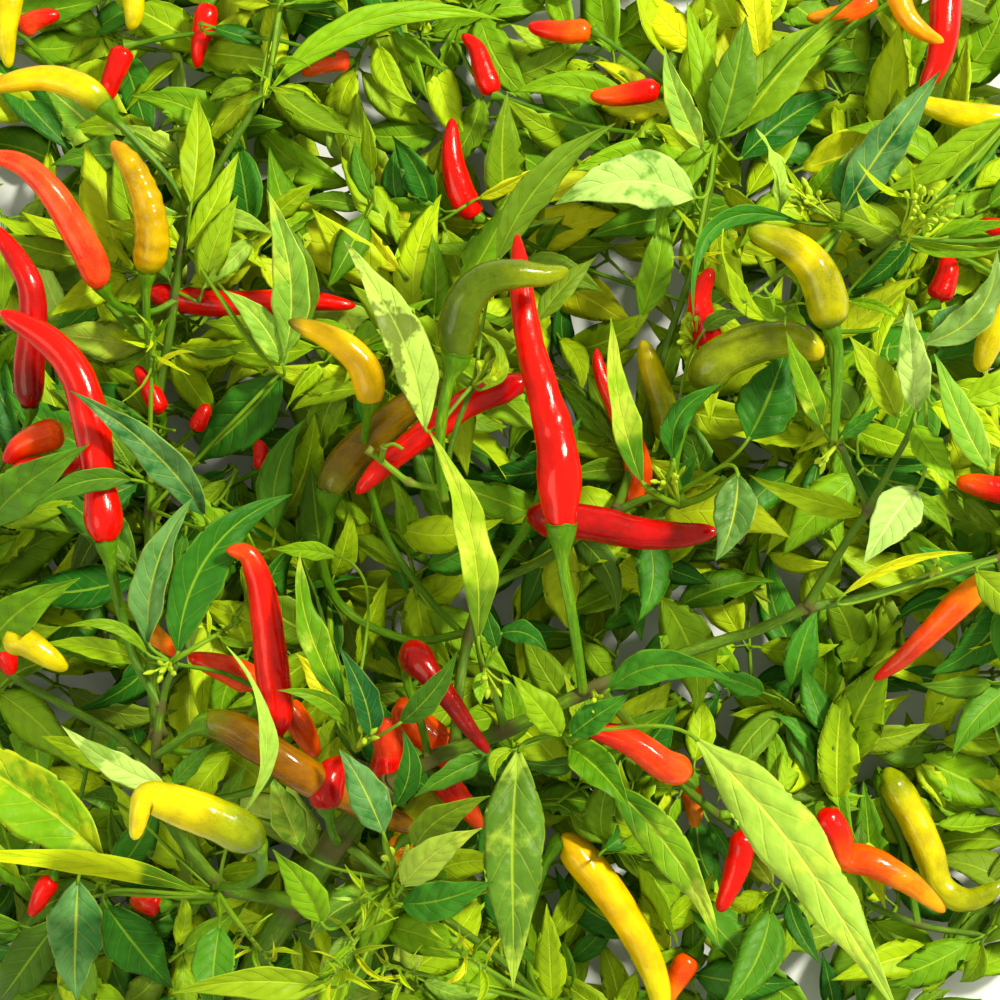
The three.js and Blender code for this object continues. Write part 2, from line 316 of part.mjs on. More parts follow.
// A round sweep through the given points; a radius of 0 at the far end makes a tip.
function sweep(points, radii, sides) {
  const rings = [];
  let normal = null;
  for (let i = 0; i < points.length; i++) {
    const ahead = points[Math.min(i + 1, points.length - 1)].clone().sub(points[Math.max(i - 1, 0)]).normalize();
    if (!normal) normal = new THREE.Vector3(0, 0, 1);
    normal = normal.clone().addScaledVector(ahead, -normal.dot(ahead)).normalize();
    const side = new THREE.Vector3().crossVectors(ahead, normal);
    if (radii[i] <= 0.02) {
      rings.push([points[i].clone()]);
      continue;
    }
    const ring = [];
    for (let j = 0; j < sides; j++) {
      const a = (2 * Math.PI * (j + 0.5)) / sides;
      ring.push(points[i].clone().addScaledVector(side, Math.cos(a) * radii[i]).addScaledVector(normal, Math.sin(a) * radii[i]));
    }
    rings.push(ring);
  }
  return solid(skin(rings));
}

function limb([, parent, r0, r1, route], grow) {
  const curve = new THREE.CatmullRomCurve3(route.map(place), false, "centripetal");
  const length = along(curve, 0, 1, [0]).length;
  const n = Math.max(4, Math.ceil(length / LIMB_STEP));
  const shares = Array.from({ length: n + 1 }, (_, i) => i / n);
  const sides = r0 > 1.9 ? LIMB_SIDES : TWIG_SIDES;
  // The flats of a polygon sit inside its circle, so the rings are a little larger than the limb.
  const round = 1 / Math.cos(Math.PI / sides / 1.5);
  return sweep(along(curve, 0, 1, shares).at, shares.map((s) => (r0 + (r1 - r0) * s) * round + grow), sides);
}

// The pod's radius as a share of its greatest, from the cap to the tip.
const POD = [[0, 0.84], [0.18, 1], [0.42, 0.91], [0.66, 0.73], [0.88, 0.43], [1, 0]];

function fruit([, , , radius, stalk, pod], grow) {
  const route = [...stalk, ...pod];
  const curve = new THREE.CatmullRomCurve3(route.map(place), false, "centripetal");
  const joint = stalk.length / (route.length - 1);
  const low = [0, 0.42, 0.84];
  const foot = along(curve, 0, joint, low), body = along(curve, joint, 1, POD.map(([s]) => s));
  const points = [...foot.at, ...body.at];
  const radii = [FRUIT_STALK + grow, FRUIT_STALK * 1.05 + grow, Math.min(radius * 0.5, 2) + grow, ...POD.map(([, r]) => (r ? radius * r + grow : 0))];
  if (grow) points[points.length - 1].addScaledVector(points.at(-1).clone().sub(points.at(-2)).normalize(), grow);
  return sweep(points, radii, FRUIT_SIDES);
}

// The blade's half width as a share of its greatest, from foot to tip.
const OUTLINE = [[0.16, 0.72], [0.4, 1], [0.72, 0.56]];

// One leaf, stalk and blade: a thin body with two edges and a keel along the midrib underneath.
function leaf(hub, foot, tip, width, roll, twist, arch, bow, grow) {
  const root = place(hub), a = place(foot), b = place(tip);
  const axis = b.clone().sub(a), length = axis.length();
  axis.normalize();
  const up = new THREE.Vector3(0, 0, 1).addScaledVector(axis, -axis.z).normalize();
  const right = new THREE.Vector3().crossVectors(axis, up);
  const half = (width / 2) * gridStep((foot[2] + tip[2]) / 2);
  const centre = (t) =>
    a.clone().addScaledVector(axis, length * t)
      .addScaledVector(up, arch * length * 4 * t * (1 - t)).addScaledVector(right, bow * length * 4 * t * (1 - t));
  const ring = (c, ahead, turn, halfWidth, top, keel) => {
    const n0 = up.clone().addScaledVector(ahead, -up.dot(ahead)).normalize();
    const r0 = new THREE.Vector3().crossVectors(ahead, n0);
    const n = n0.clone().multiplyScalar(Math.cos(turn)).addScaledVector(r0, Math.sin(turn));
    const r = new THREE.Vector3().crossVectors(ahead, n);
    return [
      c.clone().addScaledVector(r, halfWidth).addScaledVector(n, top),
      c.clone().addScaledVector(r, -halfWidth).addScaledVector(n, top),
      c.clone().addScaledVector(n, -keel),
    ];
  };
  const rings = [];
  const stem = a.clone().sub(root).normalize(), turn0 = (roll * Math.PI) / 180;
  const s = PETIOLE + 2 * grow;
  rings.push(ring(root, stem, turn0, s, s * 0.5, s));
  const into = centre(0.04).sub(a).normalize().add(stem).normalize();
  rings.push(ring(a, into, turn0, s, s * 0.5, s));
  for (const [t, w] of OUTLINE) {
    const ahead = centre(Math.min(1, t + 0.05)).sub(centre(t - 0.05)).normalize();
    rings.push(ring(centre(t), ahead, ((roll + twist * t) * Math.PI) / 180, half * w + 2 * grow, BLADE * 0.35 + grow, BLADE * 0.65 + grow));
  }
  const end = centre(1);
  rings.push([end.clone().addScaledVector(end.clone().sub(centre(0.9)).normalize(), 2 * grow)]);
  return solid(skin(rings));
}

// The leaves of each mass: those set one by one, and those set by a seeded rule round its thicket.
function leavesOf(key) {
  const rows = LEAVES.filter(([hub, , , width]) => hub === key && width >= LEAST_LEAF).map(([, ...row]) => [HUBS[key][1], ...row]);
  SPRAYS.forEach(([hub, count, from, to, short, long, heights], order) => {
    if (hub !== key) return;
    const next = seeded(7919 * (order + 1));
    const [[u, v, z]] = THICKETS[key];
    for (let i = 0; i < count; i++) {
      const angle = ((from + ((to - from) * (i + 0.3 + 0.4 * next())) / count) * Math.PI) / 180;
      const reach = short + (long - short) * next();
      const drop = heights[0] + (heights[1] - heights[0]) * next();
      const foot = [u + Math.cos(angle) * reach * 0.35, v - Math.sin(angle) * reach * 0.35, z];
      const tip = [u + Math.cos(angle) * reach, v - Math.sin(angle) * reach, drop];
      rows.push([[u, v, z], foot, tip, reach * 0.32, -12 + 24 * next(), 0, 0.07, -0.06 + 0.12 * next()]);
    }
  });
  return rows;
}

// An uneven closed lump with the outline of the thicket, on a twig from the mass's node.
function thicket(key, grow) {
  const [middle, [halfU, halfV, halfZ]] = THICKETS[key];
  const centre = place(middle), k = gridStep(middle[2]);
  const round = new THREE.IcosahedronGeometry(1, 1);
  round.deleteAttribute("normal");
  round.deleteAttribute("uv");
  const lump = mergeVertices(round, 1e-3), at = lump.attributes.position;
  const next = seeded(104729 + middle[0] * 31 + middle[1]);
  for (let i = 0; i < at.count; i++) {
    const swell = 0.7 + 0.42 * next();
    at.setXYZ(i, at.getX(i) * (halfU * k * swell + grow), at.getY(i) * (halfV * k * swell + grow), at.getZ(i) * (halfZ * swell + grow));
  }
  lump.translate(...centre.toArray());
  const node = place(HUBS[key][1]);
  const twig = sweep([node, node.clone().lerp(centre, 0.5), centre], [1.1 + grow, 1.1 + grow, 1.1 + grow], 4);
  return solid(lump).add(twig);
}

function mass(key, grow) {
  const [, hub, collar] = HUBS[key];
  const knot = new THREE.OctahedronGeometry(collar * 1.45 + grow * 1.7, 0);
  knot.translate(...place(hub).toArray());
  const pieces = [solid(knot)];
  if (THICKETS[key]) pieces.push(thicket(key, grow));
  for (const [root, foot, tip, width, roll, twist, arch, bow] of leavesOf(key)) pieces.push(leaf(root, foot, tip, width, roll, twist, arch, bow, grow));
  return wasm.Manifold.union(pieces);
}

const twiceArea = ([a, b, c], at) => new THREE.Vector3().crossVectors(at[b].clone().sub(at[a]), at[c].clone().sub(at[a]));
const height = (f, at) => twiceArea(f, at).length() / Math.max(...f.map((v, j) => at[v].distanceTo(at[f[(j + 1) % 3]])));

// A flat triangle whose tip lies on its long side gives way to the other diagonal of the pair that it makes with its neighbour.
function turnSlivers(faces, at, count) {
  for (let round = 0; round < 60; round++) {
    const owner = new Map();
    faces.forEach((f, i) => f.forEach((v, j) => owner.set(v * count + f[(j + 1) % 3], i)));
    const turned = faces.some((f, i) => {
      const thin = height(f, at);
      if (thin > THIN) return false;
      const sides = f.map((v, j) => at[v].distanceTo(at[f[(j + 1) % 3]]));
      const j = sides.indexOf(Math.max(...sides)), a = f[j], b = f[(j + 1) % 3], c = f[(j + 2) % 3];
      const k = owner.get(b * count + a);
      if (k === undefined) return false;
      const g = faces[k], d = g.find((v) => v !== a && v !== b), facing = twiceArea(g, at);
      if (d === c || owner.has(c * count + d) || owner.has(d * count + c)) return false;
      const one = [a, d, c], two = [d, b, c];
      if (Math.min(height(one, at), height(two, at)) < thin * 1.3 + 1e-5) return false;
      if (twiceArea(one, at).dot(facing) < 0 || twiceArea(two, at).dot(facing) < 0) return false;
      faces[i] = one;
      faces[k] = two;
      return true;
    });
    if (!turned) return;
  }
}

// Closes up slivers: edges shorter than least shrink to a point, as long as the body stays closed.
function closeUp(body, least) {
  const mesh = body.getMesh(), n = mesh.numProp, count = mesh.vertProperties.length / n;
  const point = (i) => new THREE.Vector3(mesh.vertProperties[n * i], mesh.vertProperties[n * i + 1], mesh.vertProperties[n * i + 2]);
  const at = Array.from({ length: count }, (_, i) => point(i)), owner = at.map((_, i) => i);
  const find = (i) => (owner[i] === i ? i : (owner[i] = find(owner[i])));
  const tri = mesh.triVerts;
  for (let i = 0; i < tri.length; i++) {
    const a = tri[i], b = tri[i % 3 === 2 ? i - 2 : i + 1];
    if (at[a].distanceTo(at[b]) < least) owner[find(a)] = find(b);
  }
  const seen = new Map();
  for (let i = 0; i < tri.length; i += 3) {
    const f = [find(tri[i]), find(tri[i + 1]), find(tri[i + 2])];
    if (f[0] === f[1] || f[1] === f[2] || f[2] === f[0]) continue;
    const key = [...f].sort((p, q) => p - q).join();
    if (seen.has(key)) seen.delete(key);
    else seen.set(key, f);
  }
  const list = [...seen.values()];
  turnSlivers(list, at, count);
  const edges = new Set(), used = new Map(), position = [], index = [];
  let whole = true;
  for (const f of list) {
    for (let j = 0; j < 3; j++) {
      const key = f[j] * count + f[(j + 1) % 3];
      if (edges.has(key)) whole = false;
      edges.add(key);
      if (!used.has(f[j])) {
        used.set(f[j], used.size);
        position.push(...at[f[j]].toArray());
      }
      index.push(used.get(f[j]));
    }
  }
  for (const key of edges) if (!edges.has((key % count) * count + Math.floor(key / count))) whole = false;
  // One body: every face is reached from the first one over shared edges.
  const owners = new Map();
  list.forEach((f, i) => f.forEach((v, j) => owners.set(v * count + f[(j + 1) % 3], i)));
  const reached = new Set([0]), queue = [0];
  while (queue.length && whole) {
    const f = list[queue.pop()];
    f.forEach((v, j) => {
      const next = owners.get(f[(j + 1) % 3] * count + v);
      if (!reached.has(next)) {
        reached.add(next);
        queue.push(next);
      }
    });
  }
  if (reached.size !== list.length) whole = false;
  const cells = new Set();
  for (let i = 0; i < position.length; i += 3) cells.add([0, 1, 2].map((j) => Math.round(position[i + j] * 400)).join());
  if (cells.size * 3 !== position.length) whole = false;
  return whole ? { position, index, thinnest: Math.min(...list.map((f) => height(f, at))) } : null;
}

const overlap = (a, b) => [0, 1, 2].every((i) => a.min[i] < b.max[i] && b.min[i] < a.max[i]);
const ground = solid(new THREE.BoxGeometry(900, 900, 60).translate(0, 0, -30));
const done = [];
const branch = new THREE.Group();
branch.name = "chilli_pepper_branch";

// Each piece is cut clear of the pieces made before it, and flat where it rests on the ground.
function add(name, body, grown, origin, look) {
  const before = body.volume();
  for (const other of done) if (overlap(body.boundingBox(), other.grown.boundingBox())) body = body.subtract(other.grown);
  body = body.subtract(ground);
  const parts = body.decompose().sort((a, b) => b.volume() - a.volume());
  body = parts[0];
  let shape = null, final = null;
  for (const least of [0.3, 0.4, 0.24, 0.19, 0.15, 0.1, 0.06, 0.03, 0.015, 0.006, 0]) {
    const tried = closeUp(body, least);
    if (!tried || (shape && tried.thinnest < shape.thinnest * 1.5)) continue;
    const made = new wasm.Manifold(new wasm.Mesh({ numProp: 3, vertProperties: new Float32Array(tried.position), triVerts: new Uint32Array(tried.index) }));
    const clear = done.every((other) => !overlap(made.boundingBox(), other.final.boundingBox()) || made.intersect(other.final).volume() < 0.001);
    if (!clear || made.decompose().length !== 1) continue;
    shape = tried;
    final = made;
    if (shape.thinnest > THIN) break;
  }
  done.push({ name, grown, final, kept: body.volume() / before });
  for (let i = 0; i < shape.position.length; i += 3) {
    shape.position[i] -= origin.x;
    shape.position[i + 1] -= origin.y;
    shape.position[i + 2] -= origin.z;
  }
  const geometry = new THREE.BufferGeometry();
  geometry.setAttribute("position", new THREE.Float32BufferAttribute(shape.position, 3));
  geometry.setIndex(shape.index);
  geometry.computeVertexNormals();
  const piece = new THREE.Mesh(geometry, new THREE.MeshStandardMaterial({ metalness: 0, ...look }));
  piece.name = name;
  piece.position.copy(origin);
  branch.add(piece);
}

for (const row of LIMBS) add(row[0], limb(row, 0), limb(row, GAP), place(row[4][0]), BARK);
for (const row of FRUITS) add(row[0], fruit(row, 0), fruit(row, GAP), place(row[5][0]), { color: RIPENESS[row[1]], roughness: 0.2 });
for (const key of Object.keys(HUBS)) add(HUBS[key][0], mass(key, 0), mass(key, GAP), place(HUBS[key][1]), GREEN);

// The origin is under the middle of the branch, on the plane that it lies on.
branch.updateMatrixWorld(true);
const box = new THREE.Box3().setFromObject(branch, true);
branch.position.set(-(box.min.x + box.max.x) / 2, -(box.min.y + box.max.y) / 2, -box.min.z);
branch.updateMatrixWorld(true);

export default branch;
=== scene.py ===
# A fruiting chilli pepper branch, cut and laid down: bark, pods, caps, leaves, twigs and buds round the solids.
import math

import bpy
import numpy as np
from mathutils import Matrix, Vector


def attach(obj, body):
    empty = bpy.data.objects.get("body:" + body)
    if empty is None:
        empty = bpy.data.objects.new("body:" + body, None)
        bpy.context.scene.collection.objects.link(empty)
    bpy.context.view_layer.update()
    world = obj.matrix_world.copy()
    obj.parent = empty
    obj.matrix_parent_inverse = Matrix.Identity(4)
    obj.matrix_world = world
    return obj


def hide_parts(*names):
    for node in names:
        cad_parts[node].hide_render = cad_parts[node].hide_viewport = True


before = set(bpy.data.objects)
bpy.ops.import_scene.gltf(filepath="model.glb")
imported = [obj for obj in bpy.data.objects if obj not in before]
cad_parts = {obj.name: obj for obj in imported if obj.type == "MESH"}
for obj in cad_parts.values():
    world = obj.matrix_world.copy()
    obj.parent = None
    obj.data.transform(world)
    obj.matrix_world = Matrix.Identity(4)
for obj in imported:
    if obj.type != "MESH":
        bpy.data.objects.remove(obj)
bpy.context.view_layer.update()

GRID, EYE, FOCUS = 0.2, 555.6, 55.0      # the layout grid: mm to a step, height of the eye, height of the plane in focus
SHIFT = np.array([2.65528,-0.09029,0])               # from the layout to the row frame, mm
BARE = (0.86, 0.85, 0.83)

# u runs right and v runs down, in thousandths of the picture's side; z is the height above the table in mm.
# Each limb: name, limb it grows from, radius at its foot and at its end in mm, and the points it passes.
LIMBS = [
  ["main_stem", "", 3.4, 2.6, [[205, 1085, 2.6], [250, 975, 17], [310, 880, 34], [352, 822, 44], [394, 784, 50]]],
  ["main_arm", "main_stem", 2.15, 1.5, [[392, 785, 50], [432, 759, 52], [480, 741, 54], [520, 724, 55], [552, 708, 56], [585, 692, 56], [632, 671, 56], [672, 657, 56], [715, 643, 56], [760, 629, 56], [810, 606, 56]]],
  ["upper_arm", "main_arm", 1.15, 0.8, [[808, 607, 56], [815, 593, 57], [835, 560, 58], [855, 528, 59], [867, 509, 60], [859, 488, 60], [850, 468, 60], [842, 450, 60], [835, 443, 60]]],
  ["right_arm", "main_arm", 1.15, 0.75, [[808, 607, 56], [850, 600, 55], [900, 588, 54], [930, 577, 53], [975, 564, 52], [1040, 548, 50], [1105, 526, 46]]],
  ["front_twig", "upper_arm", 0.85, 0.65, [[867, 509, 60], [880, 488, 63], [895, 460, 67], [907, 438, 71], [918, 408, 75], [925, 385, 77]]],
  ["crown_twig", "upper_arm", 0.85, 0.65, [[835, 443, 58], [835, 400, 50], [831, 345, 44], [824, 308, 43], [820, 290, 45], [840, 276, 50], [870, 256, 53], [899, 237, 56]]],
  ["crown_side_twig", "crown_twig", 0.75, 0.65, [[820, 290, 45], [828, 262, 50], [835, 243, 52], [842, 226, 54]]],
  ["back_arm", "main_arm", 1.4, 0.85, [[455, 750, 50], [458, 700, 44], [468, 640, 39], [486, 592, 38], [547, 558, 38], [616, 512, 40], [655, 497, 42], [679, 504, 44], [712, 491, 47], [724, 478, 50]]],
  ["centre_twig", "main_arm", 0.95, 0.62, [[505, 731, 55], [496, 700, 57], [484, 668, 58], [476, 630, 56], [468, 560, 54], [457, 505, 55], [448, 468, 57], [455, 432, 57], [466, 402, 57], [472, 388, 57]]],
  ["left_arm", "main_stem", 1.8, 0.8, [[296, 902, 32], [262, 896, 38], [225, 888, 44], [200, 862, 48], [172, 826, 50], [158, 790, 51], [156, 750, 52], [165, 690, 55], [176, 664, 58]]],
  ["far_left_arm", "left_arm", 1.25, 0.75, [[157, 770, 51], [120, 737, 44], [60, 703, 38], [0, 664, 34], [-24, 600, 32], [-24, 530, 31], [0, 466, 33], [24, 432, 35]]],
  ["back_left_arm", "left_arm", 1.5, 0.8, [[158, 735, 52], [150, 650, 36], [150, 520, 24], [155, 420, 22], [170, 330, 23], [190, 217, 27], [225, 155, 27], [262, 92, 26], [280, 20, 25], [286, -30, 24]]],
  ["back_top_arm", "back_arm", 1.15, 0.75, [[616, 512, 40], [640, 440, 27], [665, 350, 21], [695, 260, 21], [712, 180, 24], [716, 140, 26]]],
  ["lower_arm", "main_arm", 1.3, 0.8, [[598, 688, 56], [640, 735, 38], [690, 792, 22], [770, 850, 14], [850, 895, 12], [920, 925, 13], [985, 935, 14]]],
  ["bottom_arm", "main_stem", 1.3, 0.8, [[340, 838, 41], [392, 882, 40], [450, 922, 33], [510, 968, 27], [550, 1012, 22]]],
]
# Each fruit: name, ripeness, limb it hangs on, greatest radius in mm, points of its stalk from the limb to the cap, and points of its pod from the cap to the tip.
FRUITS = [
  ["fruit_centre_red", "red", "main_arm", 4.55, [[583, 693, 57], [578, 655, 60], [570, 606, 62], [562, 562, 63]], [[561, 526, 64], [560, 494, 64], [558, 455, 64], [544, 395, 63], [530, 345, 61], [522, 293, 59], [517, 234, 57]]],
  ["fruit_crossing_red", "red", "back_arm", 3.8, [[487, 592, 39], [500, 566, 42], [515, 545, 45], [524, 532, 47]], [[532, 519, 49], [556, 519, 51], [600, 524, 51], [640, 533, 51], [680, 535, 52], [718, 531, 54]]],
  ["fruit_top_green", "green", "centre_twig", 4.5, [[444, 500, 56], [440, 452, 61], [443, 410, 64], [450, 378, 65]], [[457, 354, 66], [458, 326, 68], [466, 299, 70], [486, 280, 71], [515, 274, 71], [545, 275, 70], [569, 270, 69]]],
  ["fruit_right_green", "green", "back_arm", 4.3, [[681, 502, 45], [674, 470, 46], [682, 430, 47], [693, 406, 48]], [[703, 386, 49], [714, 364, 51], [736, 350, 52], [767, 340, 53], [798, 340, 54], [823, 357, 55]]],
  ["fruit_right_yellow", "lime", "upper_arm", 4.15, [[834, 442, 61], [836, 400, 62], [838, 365, 63], [837, 345, 63]], [[831, 326, 64], [827, 300, 65], [817, 272, 66], [799, 252, 66], [775, 239, 66], [748, 231, 66]]],
  ["fruit_olive", "brown", "back_arm", 3.9, [[470, 632, 38], [410, 640, 30], [345, 610, 28], [322, 560, 34], [329, 520, 39]], [[330, 492, 41], [348, 462, 41], [378, 432, 41], [410, 406, 41], [446, 382, 41]]],
  ["fruit_slim_red", "red", "back_arm", 3.0, [[486, 590, 39], [538, 500, 40], [541, 440, 44], [532, 396, 47]], [[522, 385, 48], [498, 391, 48], [466, 405, 48], [428, 432, 48], [388, 462, 48], [356, 494, 48]]],
  ["fruit_left_amber", "amber", "back_arm", 3.3, [[469, 640, 38], [430, 600, 32], [388, 540, 29], [368, 480, 34], [365, 434, 46]], [[370, 399, 52], [366, 372, 53], [350, 351, 54], [325, 335, 55], [288, 321, 56]]],
  ["fruit_small_red", "red", "main_arm", 3.6, [[428, 758, 53], [424, 735, 50], [415, 705, 48], [406, 676, 50]], [[411, 656, 55], [421, 664, 60], [434, 680, 61], [452, 703, 61], [470, 729, 61], [489, 753, 61]]],
  ["fruit_inner_red", "orange", "main_stem", 4.1, [[394, 790, 50], [402, 806, 46], [396, 801, 43], [392, 796, 43]], [[389, 787, 44], [391, 768, 46], [391, 750, 47], [386, 735, 49], [387, 719, 52]]],
  ["fruit_low_red", "red", "main_stem", 3.5, [[338, 842, 46], [333, 833, 55], [329, 818, 57]], [[326, 805, 58], [327, 786, 58], [333, 773, 57], [343, 768, 55], [356, 771, 52]]],
  ["fruit_left_brown", "brown", "left_arm", 3.75, [[157, 755, 53], [172, 745, 58], [190, 732, 60]], [[208, 724, 61], [232, 729, 61], [264, 748, 61], [300, 772, 60], [350, 799, 52], [417, 830, 46]]],
  ["fruit_left_upright", "red", "left_arm", 3.35, [[158, 790, 52], [200, 800, 50], [262, 786, 51], [273, 762, 55]], [[274, 735, 57], [276, 703, 58], [272, 664, 60], [267, 622, 62], [259, 580, 63], [247, 554, 64], [226, 550, 65]]],
  ["fruit_left_flat", "red", "left_arm", 3.2, [[157, 745, 51], [182, 752, 44], [226, 742, 41], [256, 706, 43]], [[254, 684, 46], [235, 673, 47], [212, 664, 48], [188, 656, 49]]],
  ["fruit_edge_red", "red", "left_arm", 4.0, [[160, 705, 54], [135, 660, 53], [121, 612, 53], [112, 572, 54]], [[106, 541, 55], [103, 513, 55], [98, 470, 55], [92, 428, 55], [77, 375, 55], [52, 343, 55], [0, 311, 56]]],
  ["fruit_edge_deep_red", "red", "far_left_arm", 3.2, [[24, 434, 35], [27, 424, 37], [30, 416, 39]], [[30, 405, 41], [29, 370, 42], [33, 325, 43], [30, 285, 44], [16, 258, 44], [-8, 225, 44]]],
  ["fruit_edge_light_red", "red", "back_left_arm", 3.3, [[176, 300, 24], [150, 312, 28], [118, 306, 33]], [[101, 285, 36], [92, 262, 38], [74, 228, 40], [50, 190, 42], [22, 165, 43], [-14, 154, 44]]],
  ["fruit_corner_yellow", "yellow", "back_left_arm", 3.1, [[191, 216, 27], [170, 180, 29], [140, 146, 31], [118, 122, 32]], [[103, 105, 33], [80, 87, 34], [45, 78, 34], [5, 84, 34], [-20, 94, 34]]],
  ["fruit_left_yellow", "amber", "back_left_arm", 3.2, [[158, 400, 23], [150, 350, 28], [146, 305, 32]], [[147, 272, 34], [152, 240, 36], [148, 205, 37], [134, 170, 38], [112, 141, 38]]],
  ["fruit_front_yellow", "yellow", "left_arm", 4.15, [[216, 886, 46], [245, 884, 60], [262, 868, 72]], [[254, 842, 80], [232, 826, 83], [198, 812, 85], [163, 800, 86], [146, 798, 87], [134, 840, 88]]],
  ["fruit_behind_red", "red", "lower_arm", 3.4, [[655, 752, 33], [672, 770, 34], [694, 785, 37]], [[686, 774, 39], [664, 765, 42], [636, 745, 43], [612, 735, 43], [586, 731, 43]]],
  ["fruit_bottom_yellow", "amber", "bottom_arm", 3.9, [[512, 970, 27], [530, 910, 22], [546, 862, 20]], [[562, 842, 20], [584, 862, 20], [610, 895, 20], [636, 935, 20], [656, 980, 20], [664, 1024, 19]]],
  ["fruit_right_orange", "orange", "right_arm", 3.0, [[930, 578, 52], [968, 570, 46], [992, 568, 42]], [[984, 580, 40], [958, 604, 38], [930, 632, 36], [900, 660, 34], [874, 680, 32]]],
  ["fruit_low_right_yellow", "yellow", "lower_arm", 3.7, [[918, 925, 13], [902, 842, 12], [880, 790, 12]], [[884, 775, 13], [906, 805, 13], [928, 850, 14], [942, 888, 15], [968, 900, 16], [1004, 884, 17]]],
]
# Each mass of leaves: name, the node on the limb that it grows round, and the radius of the knot there in mm.
HUBS = {
  "crown_left": ["leaves_crown_left", [842, 225, 54], 2.2],
  "crown_right": ["leaves_crown_right", [900, 236, 56], 2.1],
  "centre_top": ["leaves_centre_top", [473, 386, 57], 2.0],
  "centre": ["leaves_centre", [484, 668, 58], 2.3],
  "fork": ["leaves_main_fork", [563, 731, 58], 3.2],
  "low_centre": ["leaves_low_centre", [392, 882, 42], 2.6],
  "inner": ["leaves_inner_left", [357, 748, 59], 2.4],
  "upright": ["leaves_left_upright", [170, 662, 59], 2.5],
  "left": ["leaves_left", [157, 778, 52], 3.0],
  "corner": ["leaves_low_left", [217, 893, 45], 3.3],
  "edge": ["leaves_left_edge", [-24, 560, 31], 2.4],
  "left_back": ["leaves_left_back", [150, 510, 24], 2.6],
  "top_left": ["leaves_top_left", [186, 250, 26], 2.4],
  "top_left_tip": ["leaves_top_left_tip", [287, -32, 24], 2.2],
  "top_back": ["leaves_top_back", [716, 138, 26], 2.2],
  "back": ["leaves_back_centre", [668, 499, 43], 2.5],
  "front": ["leaves_front_right", [926, 384, 77], 2.0],
  "right": ["leaves_right", [1000, 558, 51], 2.4],
  "low_right": ["leaves_low_right", [720, 815, 19], 2.5],
  "bottom": ["leaves_bottom", [540, 1000, 24], 2.3],
  "twig_fork": ["leaves_twig_fork", [836, 446, 60], 2.3],
}
